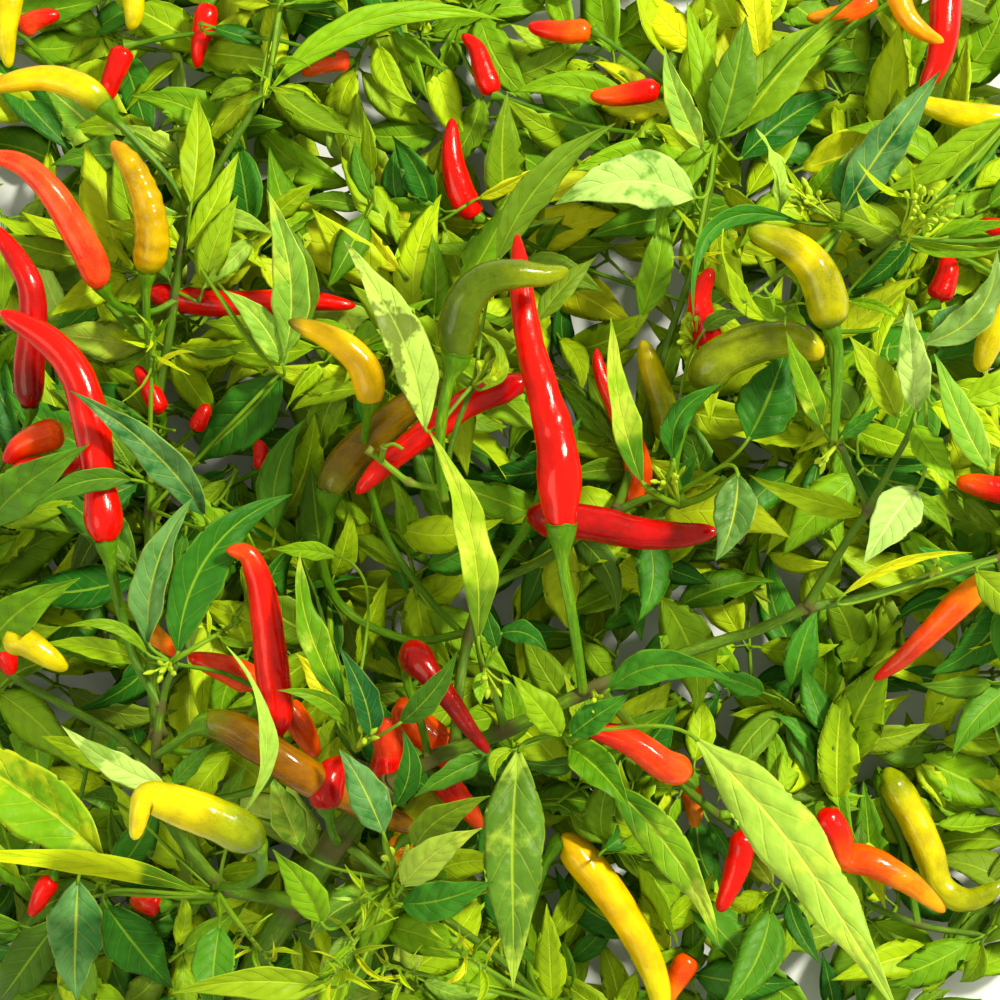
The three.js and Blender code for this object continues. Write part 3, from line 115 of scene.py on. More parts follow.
# Each leaf: hub, foot of the blade, tip, width, roll and twist in degrees, arch and sideways bow as shares of the length, fold in degrees, and tint.
LEAVES = [
  ["centre_top", [497, 262, 50], [614, 122, 55], 42, 22, 0, 0.05, -0.09, 24, "dark"],
  ["centre_top", [537, 322, 49], [598, 257, 47], 26, -20, 0, 0.04, -0.05, 15, "dark"],
  ["centre_top", [425, 430, 63], [338, 244, 70], 50, 10, 10, 0.05, 0.09, 24, "patched", 1.4],
  ["centre_top", [481, 391, 60], [479, 331, 61], 19, 20, 30, 0.06, 0.34, 22, "golden", 2.2],
  ["centre", [478, 640, 63], [431, 430, 70], 43, 14, 8, 0.04, 0.075, 30, "sunny", 1.6],
  ["centre", [497, 650, 60], [484, 604, 62], 17, 0, 0, 0.05, 0.0, 10, "dark"],
  ["centre", [499, 634, 60], [548, 652, 64], 26, -15, 0, 0.06, -0.18, 18, "dark"],
  ["centre", [484, 672, 61], [482, 706, 64], 15, 0, 0, 0.05, 0.1, 12, "mid"],
  ["fork", [519, 748, 60], [520, 989, 66], 66, -8, 5, 0.04, 0.03, 20, "mottled", 1.5],
  ["fork", [569, 746, 60], [630, 808, 70], 46, -8, 0, 0.06, -0.05, 30, "mid", 1.4],
  ["fork", [610, 785, 53], [721, 941, 64], 48, 10, 12, 0.04, -0.06, 22, "sunny", 1.6],
  ["fork", [695, 738, 59], [893, 1018, 76], 70, 6, 4, 0.05, -0.05, 14, "pale", 1.3],
  ["fork", [561, 737, 60], [512, 677, 68], 38, 10, 0, 0.06, 0.03, 22, "mid", 1.5],
  ["fork", [569, 737, 61], [631, 695, 67], 31, -6, 0, 0.05, -0.03, 14, "dark"],
  ["fork", [607, 691, 63], [735, 682, 76], 38, -10, 10, 0.06, -0.16, 22, "dark", 1.4],
  ["fork", [513, 750, 60], [496, 782, 62], 17, 20, 0, 0.1, 0.28, 20, "lime"],
  ["fork", [490, 757, 58], [414, 798, 62], 28, -20, 0, 0.05, 0.04, 14, "dark"],
  ["low_centre", [414, 850, 66], [491, 797, 79], 38, 15, 0, 0.08, -0.1, 16, "mid"],
  ["low_centre", [402, 888, 70], [480, 827, 84], 40, 10, 0, 0.06, -0.06, 14, "pale"],
  ["low_centre", [400, 904, 58], [492, 880, 68], 44, -5, 0, 0.06, 0.05, 12, "dark"],
  ["low_centre", [384, 835, 66], [341, 748, 68], 42, 6, 0, 0.05, 0.03, 10, "blue"],
  ["low_centre", [393, 808, 60], [402, 728, 62], 27, 15, 0, 0.05, 0.15, 16, "dark"],
  ["low_centre", [322, 924, 62], [272, 850, 70], 40, -12, 0, 0.06, 0.06, 16, "mid"],
  ["low_centre", [300, 846, 46], [271, 776, 47], 36, 5, 0, 0.04, 0.0, 8, "pale"],
  ["inner", [345, 703, 64], [295, 554, 71], 38, 14, 10, 0.05, -0.06, 40, "sunny", 2.2],
  ["inner", [372, 740, 62], [337, 648, 68], 31, 15, 0, 0.05, 0.08, 18, "blue"],
  ["inner", [352, 735, 59], [336, 685, 59], 17, 0, 0, 0.04, 0.0, 15, "dark"],
  ["inner", [348, 727, 62], [277, 691, 72], 21, -25, 40, 0.08, 0.15, 18, "mid"],
  ["inner", [399, 724, 66], [459, 652, 74], 29, 10, 0, 0.06, 0.05, 14, "dark"],
  ["inner", [336, 720, 50], [297, 652, 50], 27, 0, 0, 0.04, 0.05, 10, "yellow"],
  ["inner", [338, 556, 42], [271, 551, 42], 19, 0, 0, 0.05, 0.05, 12, "mid"],
  ["upright", [178, 655, 61], [291, 489, 70], 56, 8, 6, 0.06, -0.15, 26, "dark", 1.5],
  ["upright", [148, 645, 60], [190, 497, 64], 42, -14, 0, 0.05, -0.08, 26, "blue", 1.6],
  ["upright", [148, 655, 61], [62, 629, 66], 14, 10, 0, 0.08, 0.2, 14, "mid"],
  ["upright", [150, 662, 52], [42, 641, 48], 24, 5, 0, 0.05, 0.03, 12, "lime"],
  ["left", [168, 786, 57], [62, 725, 64], 30, 12, 0, 0.05, -0.06, 20, "pale", 1.3],
  ["left", [122, 772, 44], [40, 736, 43], 26, 0, 0, 0.05, 0.04, 12, "lime"],
  ["left", [171, 785, 59], [213, 742, 64], 20, 0, 0, 0.05, 0.0, 12, "dark"],
  ["corner", [243, 815, 70], [231, 646, 78], 24, 40, 20, 0.05, 0.17, 30, "pale", 2.0],
  ["corner", [200, 892, 56], [-62, 862, 66], 27, 14, 0, 0.05, 0.07, 30, "yellow", 1.4],
  ["corner", [78, 880, 40], [74, 1003, 42], 60, 5, 0, 0.05, 0.0, 20, "mottled", 1.3],
  ["corner", [220, 925, 53], [214, 1022, 60], 46, 0, 0, 0.06, 0.03, 16, "dark"],
  ["corner", [332, 988, 56], [172, 990, 64], 38, -10, 0, 0.08, 0.06, 14, "mid"],
  ["corner", [117, 803, 52], [80, 799, 56], 24, 0, 30, 0.1, 0.1, 20, "dark"],
  ["corner", [105, 905, 34], [172, 990, 24], 56, 0, 0, 0.05, 0.0, 10, "dark"],
  ["corner", [60, 918, 28], [-6, 1010, 12], 52, 0, 0, 0.06, 0.0, 10, "dark"],
  ["corner", [104, 857, 60], [-72, 742, 54], 82, -4, 0, 0.06, 0.06, 30, "golden", 1.5],
  ["edge", [-12, 524, 42], [87, 447, 62], 52, 8, 0, 0.06, -0.04, 24, "dark", 1.5],
  ["edge", [-15, 652, 42], [76, 579, 60], 48, 4, 12, 0.06, -0.06, 14, "mid"],
  ["left_back", [134, 480, 59], [28, 513, 63], 27, -12, 0, 0.06, 0.12, 14, "dark"],
  ["left_back", [205, 517, 48], [72, 393, 66], 42, -10, 8, 0.05, 0.07, 28, "blue", 1.4],
  ["left_back", [282, 375, 22], [190, 462, 12], 60, 0, 0, 0.05, -0.04, 10, "dark"],
  ["top_left", [284, 356, 38], [263, 190, 46], 40, -8, 0, 0.05, 0.10, 18, "pale"],
  ["top_left", [284, 368, 36], [222, 290, 42], 34, 6, 0, 0.05, 0.10, 18, "pale"],
  ["top_left", [298, 340, 33], [276, 212, 38], 26, 18, 0, 0.05, 0.14, 24, "dark"],
  ["top_left", [191, 205, 30], [196, 95, 24], 36, 0, 0, 0.06, 0.04, 12, "lime"],
  ["top_left_tip", [270, 90, 30], [508, 27, 20], 30, 10, 0, 0.05, -0.16, 14, "mid"],
  ["top_back", [697, 198, 36], [556, 205, 44], 60, 4, 0, 0.06, 0.13, 20, "lime", 1.3],
  ["top_back", [715, 138, 30], [684, 0, 28], 36, 0, 0, 0.06, 0.02, 12, "lime"],
  ["top_back", [718, 140, 32], [746, 16, 36], 50, 0, 0, 0.06, 0.02, 12, "dark"],
  ["top_back", [738, 132, 26], [846, 14, 20], 52, 0, 0, 0.06, -0.05, 12, "mid"],
  ["top_back", [703, 150, 36], [662, 48, 42], 31, -15, 0, 0.06, -0.04, 16, "pale"],
  ["top_back", [740, 160, 22], [838, 92, 10], 44, 0, 0, 0.06, -0.05, 12, "dark"],
  ["top_back", [640, 318, 28], [664, 204, 28], 35, 0, 0, 0.05, 0.05, 12, "mid"],
  ["back", [643, 484, 56], [612, 318, 66], 33, 16, 10, 0.04, -0.05, 26, "mottled", 2.2],
  ["back", [674, 462, 57], [723, 386, 63], 40, -18, 20, 0.06, -0.22, 26, "dark", 2.6],
  ["back", [748, 440, 46], [784, 350, 44], 62, 4, 0, 0.05, 0.03, 12, "dark"],
  ["back", [738, 474, 63], [718, 562, 68], 46, 6, 0, 0.06, -0.05, 16, "mottled", 1.5],
  ["back", [703, 332, 40], [747, 315, 42], 17, 0, 0, 0.05, -0.15, 12, "dark"],
  ["twig_fork", [866, 514, 57], [748, 478, 58], 27, -14, 0, 0.04, -0.02, 20, "lime", 1.4],
  ["twig_fork", [822, 428, 60], [784, 332, 69], 27, 8, 0, 0.05, 0.0, 16, "lime"],
  ["twig_fork", [840, 438, 62], [882, 406, 66], 17, -10, 30, 0.06, 0.0, 18, "dark"],
  ["crown_left", [842, 214, 58], [943, 72, 66], 50, 4, 0, 0.05, -0.03, 20, "blue", 1.3],
  ["crown_left", [842, 206, 57], [857, 142, 61], 27, -10, 0, 0.05, -0.05, 20, "blue", 1.3],
  ["crown_left", [812, 199, 55], [848, 155, 60], 22, 10, 0, 0.05, -0.05, 14, "mid"],
  ["crown_left", [800, 222, 58], [692, 318, 74], 21, -35, 20, 0.05, 0.3, 18, "dark"],
  ["crown_left", [779, 213, 56], [757, 129, 62], 24, 10, 60, 0.06, 0.10, 24, "mottled", 2.6],
  ["crown_left", [808, 218, 56], [780, 160, 64], 9, 0, 0, 0.06, 0.05, 18, "lime"],
  ["crown_left", [810, 224, 56], [785, 197, 61], 8, 0, 0, 0.06, 0.05, 18, "lime"],
  ["crown_left", [826, 224, 56], [864, 225, 58], 9, 0, 0, 0.06, 0.05, 18, "mid"],
  ["crown_left", [766, 320, 62], [721, 231, 72], 23, 10, 55, 0.06, -0.14, 24, "lime", 2.6],
  ["crown_right", [897, 227, 60], [857, 190, 64], 15, 10, 0, 0.06, -0.16, 20, "lime"],
  ["crown_right", [909, 196, 62], [859, 158, 68], 7, 0, 0, 0.06, -0.14, 14, "lime"],
  ["crown_right", [915, 212, 60], [911, 163, 70], 8, 0, 0, 0.04, 0.0, 16, "lime"],
  ["crown_right", [918, 214, 60], [922, 190, 66], 6, 0, 0, 0.04, 0.0, 16, "lime"],
  ["crown_right", [906, 240, 58], [1012, 247, 64], 17, 10, 30, 0.06, 0.08, 26, "lime", 2.2],
  ["crown_right", [945, 238, 56], [1018, 222, 60], 14, -10, 0, 0.06, -0.04, 14, "mid"],
  ["crown_right", [848, 302, 51], [904, 323, 56], 12, 10, 0, 0.06, -0.1, 14, "mid"],
  ["front", [897, 418, 79], [849, 337, 86], 36, 6, 0, 0.05, 0.04, 14, "lime"],
  ["front", [917, 412, 82], [905, 302, 91], 36, -8, 0, 0.05, 0.0, 20, "white"],
  ["front", [990, 470, 84], [938, 352, 91], 38, 10, 0, 0.05, -0.05, 20, "white"],
  ["front", [930, 404, 80], [1012, 452, 84], 36, 0, 0, 0.06, -0.05, 14, "lime"],
  ["front", [914, 424, 78], [958, 484, 84], 34, -10, 0, 0.06, 0.05, 14, "mid"],
  ["front", [960, 404, 82], [1062, 372, 80], 36, 10, 0, 0.06, -0.05, 14, "mid"],
  ["front", [918, 488, 76], [866, 566, 86], 48, 6, 0, 0.06, 0.05, 16, "white"],
  ["front", [921, 344, 66], [997, 248, 66], 38, -8, 20, 0.05, 0.20, 26, "dark", 2.6],
  ["front", [934, 332, 60], [960, 304, 60], 26, 10, 0, 0.05, 0.0, 12, "dark"],
  ["right", [842, 596, 60], [972, 553, 64], 12, 10, 0, 0.05, -0.10, 24, "yellow"],
  ["right", [975, 570, 56], [1052, 628, 60], 38, 0, 0, 0.06, 0.05, 12, "mid"],
  ["right", [1046, 540, 52], [1130, 462, 56], 40, 0, 0, 0.06, -0.05, 12, "mid"],
  ["right", [1090, 530, 50], [1172, 566, 44], 38, 8, 0, 0.08, 0.05, 12, "dark"],
  ["right", [1060, 548, 46], [1086, 660, 30], 44, -8, 0, 0.06, 0.05, 12, "lime"],
]
# The thick of a mass, behind its best leaves: its middle, its half sizes along u and v in grid steps, and its half height in mm.
THICKETS = {
  "top_left_tip": [[285, 12, 15], [123, 86, 15]],
  "top_left": [[188, 258, 18], [114, 128, 16]],
  "left_back": [[146, 505, 17], [123, 119, 16]],
  "edge": [[-28, 600, 16], [79, 123, 18]],
  "corner": [[150, 938, 17], [136, 92, 17]],
  "low_centre": [[385, 915, 20], [101, 92, 18]],
  "inner": [[330, 590, 20], [101, 123, 16]],
  "centre_top": [[410, 300, 20], [117, 128, 17]],
  "back": [[628, 545, 18], [123, 121, 16]],
  "top_back": [[715, 150, 12], [128, 119, 14]],
  "fork": [[600, 790, 19], [106, 88, 15]],
  "bottom": [[560, 990, 12], [114, 90, 15]],
  "low_right": [[800, 790, 12], [132, 132, 15]],
  "right": [[1035, 610, 17], [92, 112, 17]],
  "twig_fork": [[868, 420, 19], [106, 114, 17]],
  "crown_right": [[930, 228, 15], [97, 92, 17]],
}
# Leaves that reach out of a thicket, set by rule: hub, how many, first and last direction in degrees (0 is right, 90 is up), shortest and longest reach from the thicket's middle, and the heights that their tips lie between.
SPRAYS = [
  ["edge", 2, 130, 230, 130, 150, [6, 24]],
  ["top_left_tip", 3, -20, 200, 130, 150, [-2, 10]],
  ["top_back", 1, 40, 80, 140, 160, [-2, 6]],
  ["low_right", 2, -80, 0, 150, 175, [-2, 8]],
  ["bottom", 2, -130, -40, 120, 140, [-2, 8]],
  ["corner", 1, 200, 240, 150, 160, [-2, 8]],
  ["right", 1, -60, 0, 120, 140, [8, 24]],
]

# Back fruits among the thickets: hub, ripeness at the cap and at the tip, greatest radius in mm, and the pod's points from the cap to the tip.
BACKFRUITS = [
  ["top_back", "red", "red", 3.0, [[716, 362, 34], [706, 330, 36], [700, 298, 37], [712, 268, 38]]],
  ["back", "orange", "red", 2.9, [[632, 503, 30], [638, 470, 31], [622, 420, 32], [600, 372, 33], [596, 348, 33]]],
  ["back", "lime", "yellow", 3.2, [[668, 440, 24], [664, 410, 25], [652, 372, 26], [642, 340, 27]]],
  ["inner", "orange", "red", 3.8, [[404, 700, 40], [414, 722, 41], [436, 742, 41], [453, 764, 40], [446, 788, 39]]],
  ["inner", "red", "orange", 3.0, [[438, 776, 37], [456, 796, 37], [470, 812, 36], [481, 829, 35]]],
  ["inner", "lime", "yellow", 3.3, [[442, 790, 31], [426, 806, 31], [413, 822, 31], [404, 842, 30], [402, 862, 29]]],
  ["left", "orange", "orange", 2.8, [[284, 704, 50], [298, 722, 50], [308, 740, 49], [317, 757, 48]]],
  ["upright", "amber", "orange", 2.0, [[148, 628, 50], [158, 638, 50], [172, 650, 49], [178, 656, 48]]],
  ["edge", "yellow", "yellow", 3.0, [[6, 640, 47], [24, 642, 48], [44, 654, 48], [68, 669, 47]]],
  ["edge", "red", "red", 3.0, [[-34, 676, 34], [-14, 660, 35], [2, 650, 35], [12, 676, 35]]],
  ["low_right", "orange", "amber", 3.4, [[838, 856, 22], [870, 862, 23], [908, 882, 23], [945, 912, 22]]],
  ["low_right", "red", "orange", 3.2, [[822, 812, 26], [838, 834, 26], [842, 850, 25], [846, 866, 23]]],
  ["crown_right", "red", "red", 3.4, [[950, -34, 28], [946, 0, 29], [944, 34, 30], [938, 62, 30], [922, 92, 29]]],
  ["crown_right", "amber", "amber", 2.7, [[894, -34, 34], [898, -6, 35], [908, 18, 36], [926, 34, 36], [944, 42, 35]]],
  ["crown_right", "yellow", "yellow", 3.2, [[1010, 122, 26], [980, 118, 27], [948, 112, 27], [914, 100, 26]]],
  ["top_left", "red", "red", 3.0, [[150, 292, 20], [190, 300, 22], [240, 304, 23], [300, 300, 23], [356, 306, 22]]],
  ["top_back", "red", "red", 3.0, [[474, 214, 20], [462, 196, 21], [452, 160, 22], [452, 118, 22]]],
  ["top_back", "red", "orange", 2.6, [[658, 88, 24], [640, 92, 24], [616, 96, 24], [590, 96, 23]]],
  ["top_back", "orange", "red", 2.6, [[590, 30, 20], [566, 32, 20], [548, 30, 20], [528, 26, 19]]],
  ["top_left_tip", "red", "red", 2.6, [[492, 92, 16], [484, 72, 16], [476, 48, 16], [462, 34, 16]]],
  ["left_back", "red", "red", 2.2, [[160, 412, 24], [154, 398, 24], [148, 386, 24], [136, 366, 24]]],
  ["left_back", "red", "red", 2.8, [[14, 478, 44], [36, 470, 45], [60, 466, 45], [82, 462, 44]]],
  ["left_back", "orange", "red", 3.4, [[60, 432, 42], [40, 438, 43], [22, 446, 43], [4, 462, 42]]],
  ["right", "red", "orange", 2.8, [[1010, 492, 34], [992, 488, 34], [974, 484, 34], [956, 482, 33]]],
  ["right", "yellow", "yellow", 3.4, [[1022, 300, 36], [1004, 318, 37], [988, 346, 37], [980, 372, 36]]],
  ["corner", "red", "red", 2.3, [[52, 880, 26], [44, 890, 26], [38, 902, 26], [30, 916, 25]]],
  ["corner", "red", "orange", 2.8, [[160, 905, 30], [151, 903, 30], [142, 901, 30], [131, 902, 29]]],
  ["bottom", "amber", "yellow", 2.8, [[404, 842, 34], [398, 852, 33], [396, 862, 33], [398, 880, 32]]],
  ["low_right", "orange", "amber", 2.8, [[690, 958, 14], [680, 974, 14], [670, 992, 14], [664, 1012, 13]]],
  ["low_right", "red", "red", 2.8, [[744, 832, 22], [740, 856, 22], [731, 884, 22], [719, 912, 21]]],
  ["right", "red", "red", 2.8, [[938, 300, 30], [944, 284, 30], [948, 270, 30], [946, 254, 29]]],
]
# Pods far at the back, and small round ones that have hardly grown.
BACKFRUITS += [
  ["top_left", "yellow", "yellow", 3.0, [[12, -22, 22], [8, 8, 23], [6, 38, 23], [9, 68, 22]]],
  ["top_left", "red", "red", 2.6, [[124, 48, 18], [118, 64, 18], [111, 82, 18], [108, 101, 17]]],
  ["top_left", "coral", "red", 2.4, [[20, 30, 16], [32, 22, 16], [46, 17, 16], [60, 15, 16]]],
  ["top_left_tip", "red", "red", 2.5, [[208, 6, 18], [204, 26, 18], [199, 48, 18], [197, 68, 17]]],
  ["top_left_tip", "yellow", "yellow", 2.6, [[136, -26, 20], [133, -8, 20], [134, 12, 20], [131, 30, 19]]],
  ["top_left_tip", "coral", "orange", 2.3, [[350, 62, 16], [334, 61, 16], [318, 66, 16], [302, 74, 15]]],
  ["top_back", "orange", "amber", 2.6, [[874, 2, 16], [856, 10, 16], [834, 16, 16], [806, 18, 15]]],
  ["crown_right", "red", "red", 2.2, [[1012, 234, 34], [1002, 230, 34], [991, 226, 34], [979, 222, 33]]],
  ["low_right", "orange", "amber", 2.4, [[684, 770, 14], [690, 788, 14], [694, 808, 14], [695, 828, 13]]],
  ["left_back", "red", "red", 1.9, [[196, 428, 24], [200, 420, 25], [204, 412, 25], [208, 404, 25]]],
  ["left_back", "red", "red", 1.9, [[262, 468, 24], [262, 458, 25], [260, 448, 25], [258, 440, 25]]],
]
# Bare twigs: where they belong, the points they pass, radius at each end in mm, and the scars on them.
STUBS = [
  ["centre_top", [[452, 489, 56], [430, 487, 55], [409, 482, 55], [393, 470, 55], [378, 458, 56], [367, 449, 57]], 0.72, 0.62, [[409, 482, 55], [370, 451, 57], [366, 446, 57]]],
  ["centre_top", [[381, 460, 56], [383, 452, 58], [384, 446, 59]], 0.62, 0.55, [[384, 447, 59]]],
  ["centre_top", [[384, 447, 59], [393, 444, 60], [403, 449, 61]], 0.40, 0.34, []],
  ["back", [[679, 504, 45], [666, 500, 50], [654, 492, 54], [643, 484, 56]], 0.75, 0.60, [[679, 504, 45]]],
  ["back", [[679, 504, 45], [698, 500, 50], [716, 490, 55], [738, 474, 62]], 0.75, 0.55, []],
  ["back", [[664, 498, 50], [668, 478, 54], [674, 462, 57]], 0.62, 0.50, []],
]
# What tints the leaves of each thicket take.
TINTS = {
  "top_left_tip": ["lime", "mid", "lime", "mid", "lime", "dark"], "top_left": ["mid", "lime", "pale", "mid", "dark", "lime"],
  "left_back": ["dark", "mid", "blue", "dark", "lime", "mid"], "edge": ["mid", "dark", "lime", "mid"],
  "corner": ["dark", "mid", "dark", "lime", "dark"], "low_centre": ["mid", "lime", "dark", "pale", "mid"],
  "inner": ["mid", "lime", "mid", "dark", "lime", "dark", "mid"], "centre_top": ["lime", "mid", "lime", "dark", "lime", "mid", "yellow", "mid"],
  "back": ["mid", "dark", "lime", "mid", "dark"], "top_back": ["lime", "lime", "mid", "yellow", "mid", "mid", "lime", "dark"],
  "fork": ["mid", "dark", "lime", "mid"], "bottom": ["lime", "mid", "dark", "mid", "lime"],
  "low_right": ["lime", "mid", "dark", "mid", "lime", "dark", "mid"], "right": ["mid", "lime", "mid", "dark"],
  "twig_fork": ["mid", "lime", "dark", "lime", "mid"], "crown_right": ["lime", "mid", "lime", "mid", "dark"],
}
# Pod colours, linear: deep, clear and light.
RIPE = {
  "red": [[0.44, 0.001, 0.001], [0.76, 0.003, 0.001], [0.92, 0.022, 0.004]],
  "coral": [[0.66, 0.018, 0.003], [0.90, 0.075, 0.014], [0.97, 0.17, 0.045]],
  "crimson": [[0.22, 0.001, 0.001], [0.46, 0.001, 0.003], [0.66, 0.006, 0.006]],
  "orange": [[0.62, 0.035, 0.001], [0.88, 0.095, 0.001], [0.95, 0.20, 0.004]],
  "amber": [[0.56, 0.14, 0.001], [0.86, 0.31, 0.001], [0.92, 0.47, 0.004]],
  "gold": [[0.32, 0.19, 0.001], [0.52, 0.33, 0.001], [0.72, 0.51, 0.004]],
  "bright": [[0.66, 0.36, 0.001], [0.92, 0.56, 0.001], [0.97, 0.74, 0.004]],
  "yellow": [[0.40, 0.33, 0.001], [0.64, 0.55, 0.001], [0.82, 0.76, 0.006]],
  "lime": [[0.13, 0.175, 0.001], [0.27, 0.335, 0.001], [0.48, 0.53, 0.004]],
  "green": [[0.038, 0.070, 0.001], [0.082, 0.138, 0.001], [0.17, 0.25, 0.002]],
  "leafy": [[0.100, 0.135, 0.001], [0.205, 0.270, 0.001], [0.40, 0.48, 0.002]],
  "moss": [[0.17, 0.17, 0.001], [0.36, 0.35, 0.001], [0.60, 0.58, 0.004]],
  "brown": [[0.070, 0.032, 0.001], [0.150, 0.070, 0.001], [0.30, 0.140, 0.002]],
  "umber": [[0.080, 0.046, 0.001], [0.170, 0.098, 0.001], [0.30, 0.180, 0.002]],
  "rust": [[0.17, 0.060, 0.001], [0.34, 0.125, 0.001], [0.52, 0.21, 0.003]],
  "olive": [[0.050, 0.058, 0.001], [0.115, 0.120, 0.001], [0.22, 0.210, 0.003]],
  "wine": [[0.12, 0.001, 0.001], [0.27, 0.001, 0.001], [0.46, 0.006, 0.004]],
}
# Each pod's colours from the cap to the tip, where they differ from its ripeness.
SHADES = {
  "fruit_centre_red": [[0, "red"], [1, "red"]],
  "fruit_crossing_red": [[0, "crimson"], [0.3, "crimson"], [1, "crimson"]],
  "fruit_top_green": [[0, "green"], [0.5, "green"], [0.92, "lime"], [1, "lime"]],
  "fruit_right_green": [[0, "green"], [0.2, "leafy"], [0.55, "leafy"], [0.85, "lime"], [1, "yellow"]],
  "fruit_right_yellow": [[0, "green"], [0.10, "moss"], [0.36, "moss"], [0.56, "yellow"], [0.74, "moss"], [1, "lime"]],
  "fruit_olive": [[0, "olive"], [0.25, "umber"], [0.7, "umber"], [1, "olive"]],
  "fruit_slim_red": [[0, "crimson"], [0.4, "red"], [1, "red"]],
  "fruit_left_amber": [[0, "gold"], [0.20, "bright"], [0.55, "bright"], [0.78, "bright"], [1, "olive"]],
  "fruit_small_red": [[0, "crimson"], [0.2, "wine"], [0.6, "wine"], [1, "wine"]],
  "fruit_inner_red": [[0, "orange"], [0.4, "red"], [0.7, "coral"], [1, "coral"]],
  "fruit_low_red": [[0, "crimson"], [1, "red"]],
  "fruit_left_brown": [[0, "olive"], [0.12, "brown"], [0.4, "rust"], [0.7, "rust"], [1, "brown"]],
  "fruit_left_upright": [[0, "red"], [0.75, "red"], [1, "orange"]],
  "fruit_left_flat": [[0, "orange"], [0.5, "coral"], [1, "red"]],
  "fruit_edge_red": [[0, "red"], [1, "red"]],
  "fruit_edge_deep_red": [[0, "wine"], [0.4, "crimson"], [1, "red"]],
  # fruit_edge_light_red: coral, lighter than its red, is partly its own colour and partly a painted highlight spread
  # over the pod.
  "fruit_edge_light_red": [[0, "coral"], [0.3, "coral"], [1, "coral"]],
  "fruit_corner_yellow": [[0, "lime"], [0.22, "yellow"], [0.5, "bright"], [1, "gold"]],
  "fruit_left_yellow": [[0, "lime"], [0.12, "gold"], [0.6, "gold"], [0.85, "gold"], [1, "amber"]],
  "fruit_front_yellow": [[0, "green"], [0.22, "lime"], [0.45, "yellow"], [1, "yellow"]],
  "fruit_behind_red": [[0, "orange"], [0.3, "coral"], [1, "red"]],
  # fruit_bottom_yellow: the lighter bright colour at the cap end is partly its own colour and partly painted light
  # against the shadow a leaf casts there.
  "fruit_bottom_yellow": [[0, "bright"], [0.45, "bright"], [0.85, "yellow"], [1, "yellow"]],
  # fruit_right_orange: the lighter amber at the cap end is partly its own colour and partly a painted highlight.
  "fruit_right_orange": [[0, "amber"], [0.3, "orange"], [0.7, "coral"], [1, "red"]],
  "fruit_low_right_yellow": [[0, "lime"], [0.3, "yellow"], [1, "lime"]],
}
# Leaves whose tint differs from their row's, by hub and foot.
RETINT = {
  ("corner", 200, 892): "sunlit", ("crown_left", 842, 214): "sheen", ("crown_left", 842, 206): "tipped", ("crown_left", 779, 213): "pale",
  ("back", 738, 474): "sheen", ("corner", 78, 880): "sheen", ("left_back", 205, 517): "sheen", ("front", 921, 344): "sheen", ("front", 934, 332): "sheen",
  ("back", 643, 484): "sunny", ("top_back", 697, 198): "pale_sheen", ("top_back", 715, 138): "mid", ("upright", 148, 645): "sheen",
  ("left", 168, 786): "pale_sheen", ("front", 917, 412): "pale_sheen", ("front", 990, 470): "pale", ("twig_fork", 822, 428): "sunny",
  ("crown_right", 906, 240): "golden", ("top_left", 298, 340): "dark", ("low_centre", 384, 835): "sheen", ("fork", 610, 785): "sunny",
}
# Leaves at the back, in the same terms as the best ones.
MORE_LEAVES = [
  ["crown_right", [1008, 116, 42], [880, 196, 37], 36, 6, 0, 0.05, -0.04, 14, "mid"],
  ["top_back", [716, 138, 30], [652, 236, 30], 30, 6, 0, 0.06, 0.06, 14, "mid"],
  ["top_left", [186, 250, 28], [236, 150, 26], 30, 4, 0, 0.06, 0.05, 14, "lime"],
  ["top_left", [186, 250, 26], [118, 176, 24], 26, -6, 0, 0.06, -0.05, 16, "lime"],
]
# Leaves that turn, narrow or join the wood elsewhere than their row says.
ALTERED = {
  ("upright", 178, 655): {"tip": [289, 491, 57]},
  ("corner", 332, 988): {"root": [392, 882, 42]},
  ("corner", 78, 880): {"root": [116, 861, 57]},
  ("back", 674, 462): {"width": 28, "curly": 3.4},
  ("top_back", 715, 138): {"width": 30},
}
# Young shoots: where they belong and grow from, their middle, how many leaves, the longest in mm, and their tints.
TUFTS = [
  ["low_centre", [392, 882, 42], [342, 962, 56], 13, 13.5, ["lime", "yellow", "lime", "mid"]],
  ["low_centre", [392, 882, 42], [362, 898, 60], 8, 8.5, ["lime", "pale", "lime"]],
  ["low_centre", [392, 882, 42], [425, 908, 54], 8, 9.0, ["lime", "yellow", "lime"]],
  ["bottom", [540, 1000, 24], [466, 955, 44], 9, 12.0, ["yellow", "lime"]],
  ["bottom", [540, 1000, 24], [398, 968, 46], 8, 10.0, ["lime", "yellow", "mid"]],
  ["corner", [217, 893, 45], [262, 952, 50], 8, 10.0, ["lime", "yellow", "mid"]],
  ["crown_right", [900, 236, 56], [922, 214, 61], 5, 5.5, ["lime", "yellow"]],
  ["crown_left", [842, 225, 54], [803, 205, 59], 6, 6.0, ["lime", "yellow"]],
  ["crown_left", [842, 225, 54], [790, 305, 60], 6, 6.5, ["lime", "mid"]],
  ["crown_left", [842, 225, 54], [752, 296, 64], 5, 6.0, ["mid", "lime"]],
  ["top_left_tip", [287, -32, 24], [268, 86, 31], 6, 9.0, ["lime", "mid"]],
  ["top_back", [716, 138, 26], [694, 262, 32], 7, 10.0, ["lime", "yellow"]],
  ["inner", [357, 748, 59], [352, 690, 60], 5, 8.0, ["lime", "mid"]],
  ["upright", [170, 662, 59], [228, 628, 55], 6, 9.0, ["mid", "lime"]],
  ["left_back", [150, 510, 24], [152, 348, 34], 8, 11.0, ["lime", "yellow", "mid"]],
  ["twig_fork", [836, 446, 60], [884, 372, 60], 6, 9.0, ["lime", "pale"]],
]
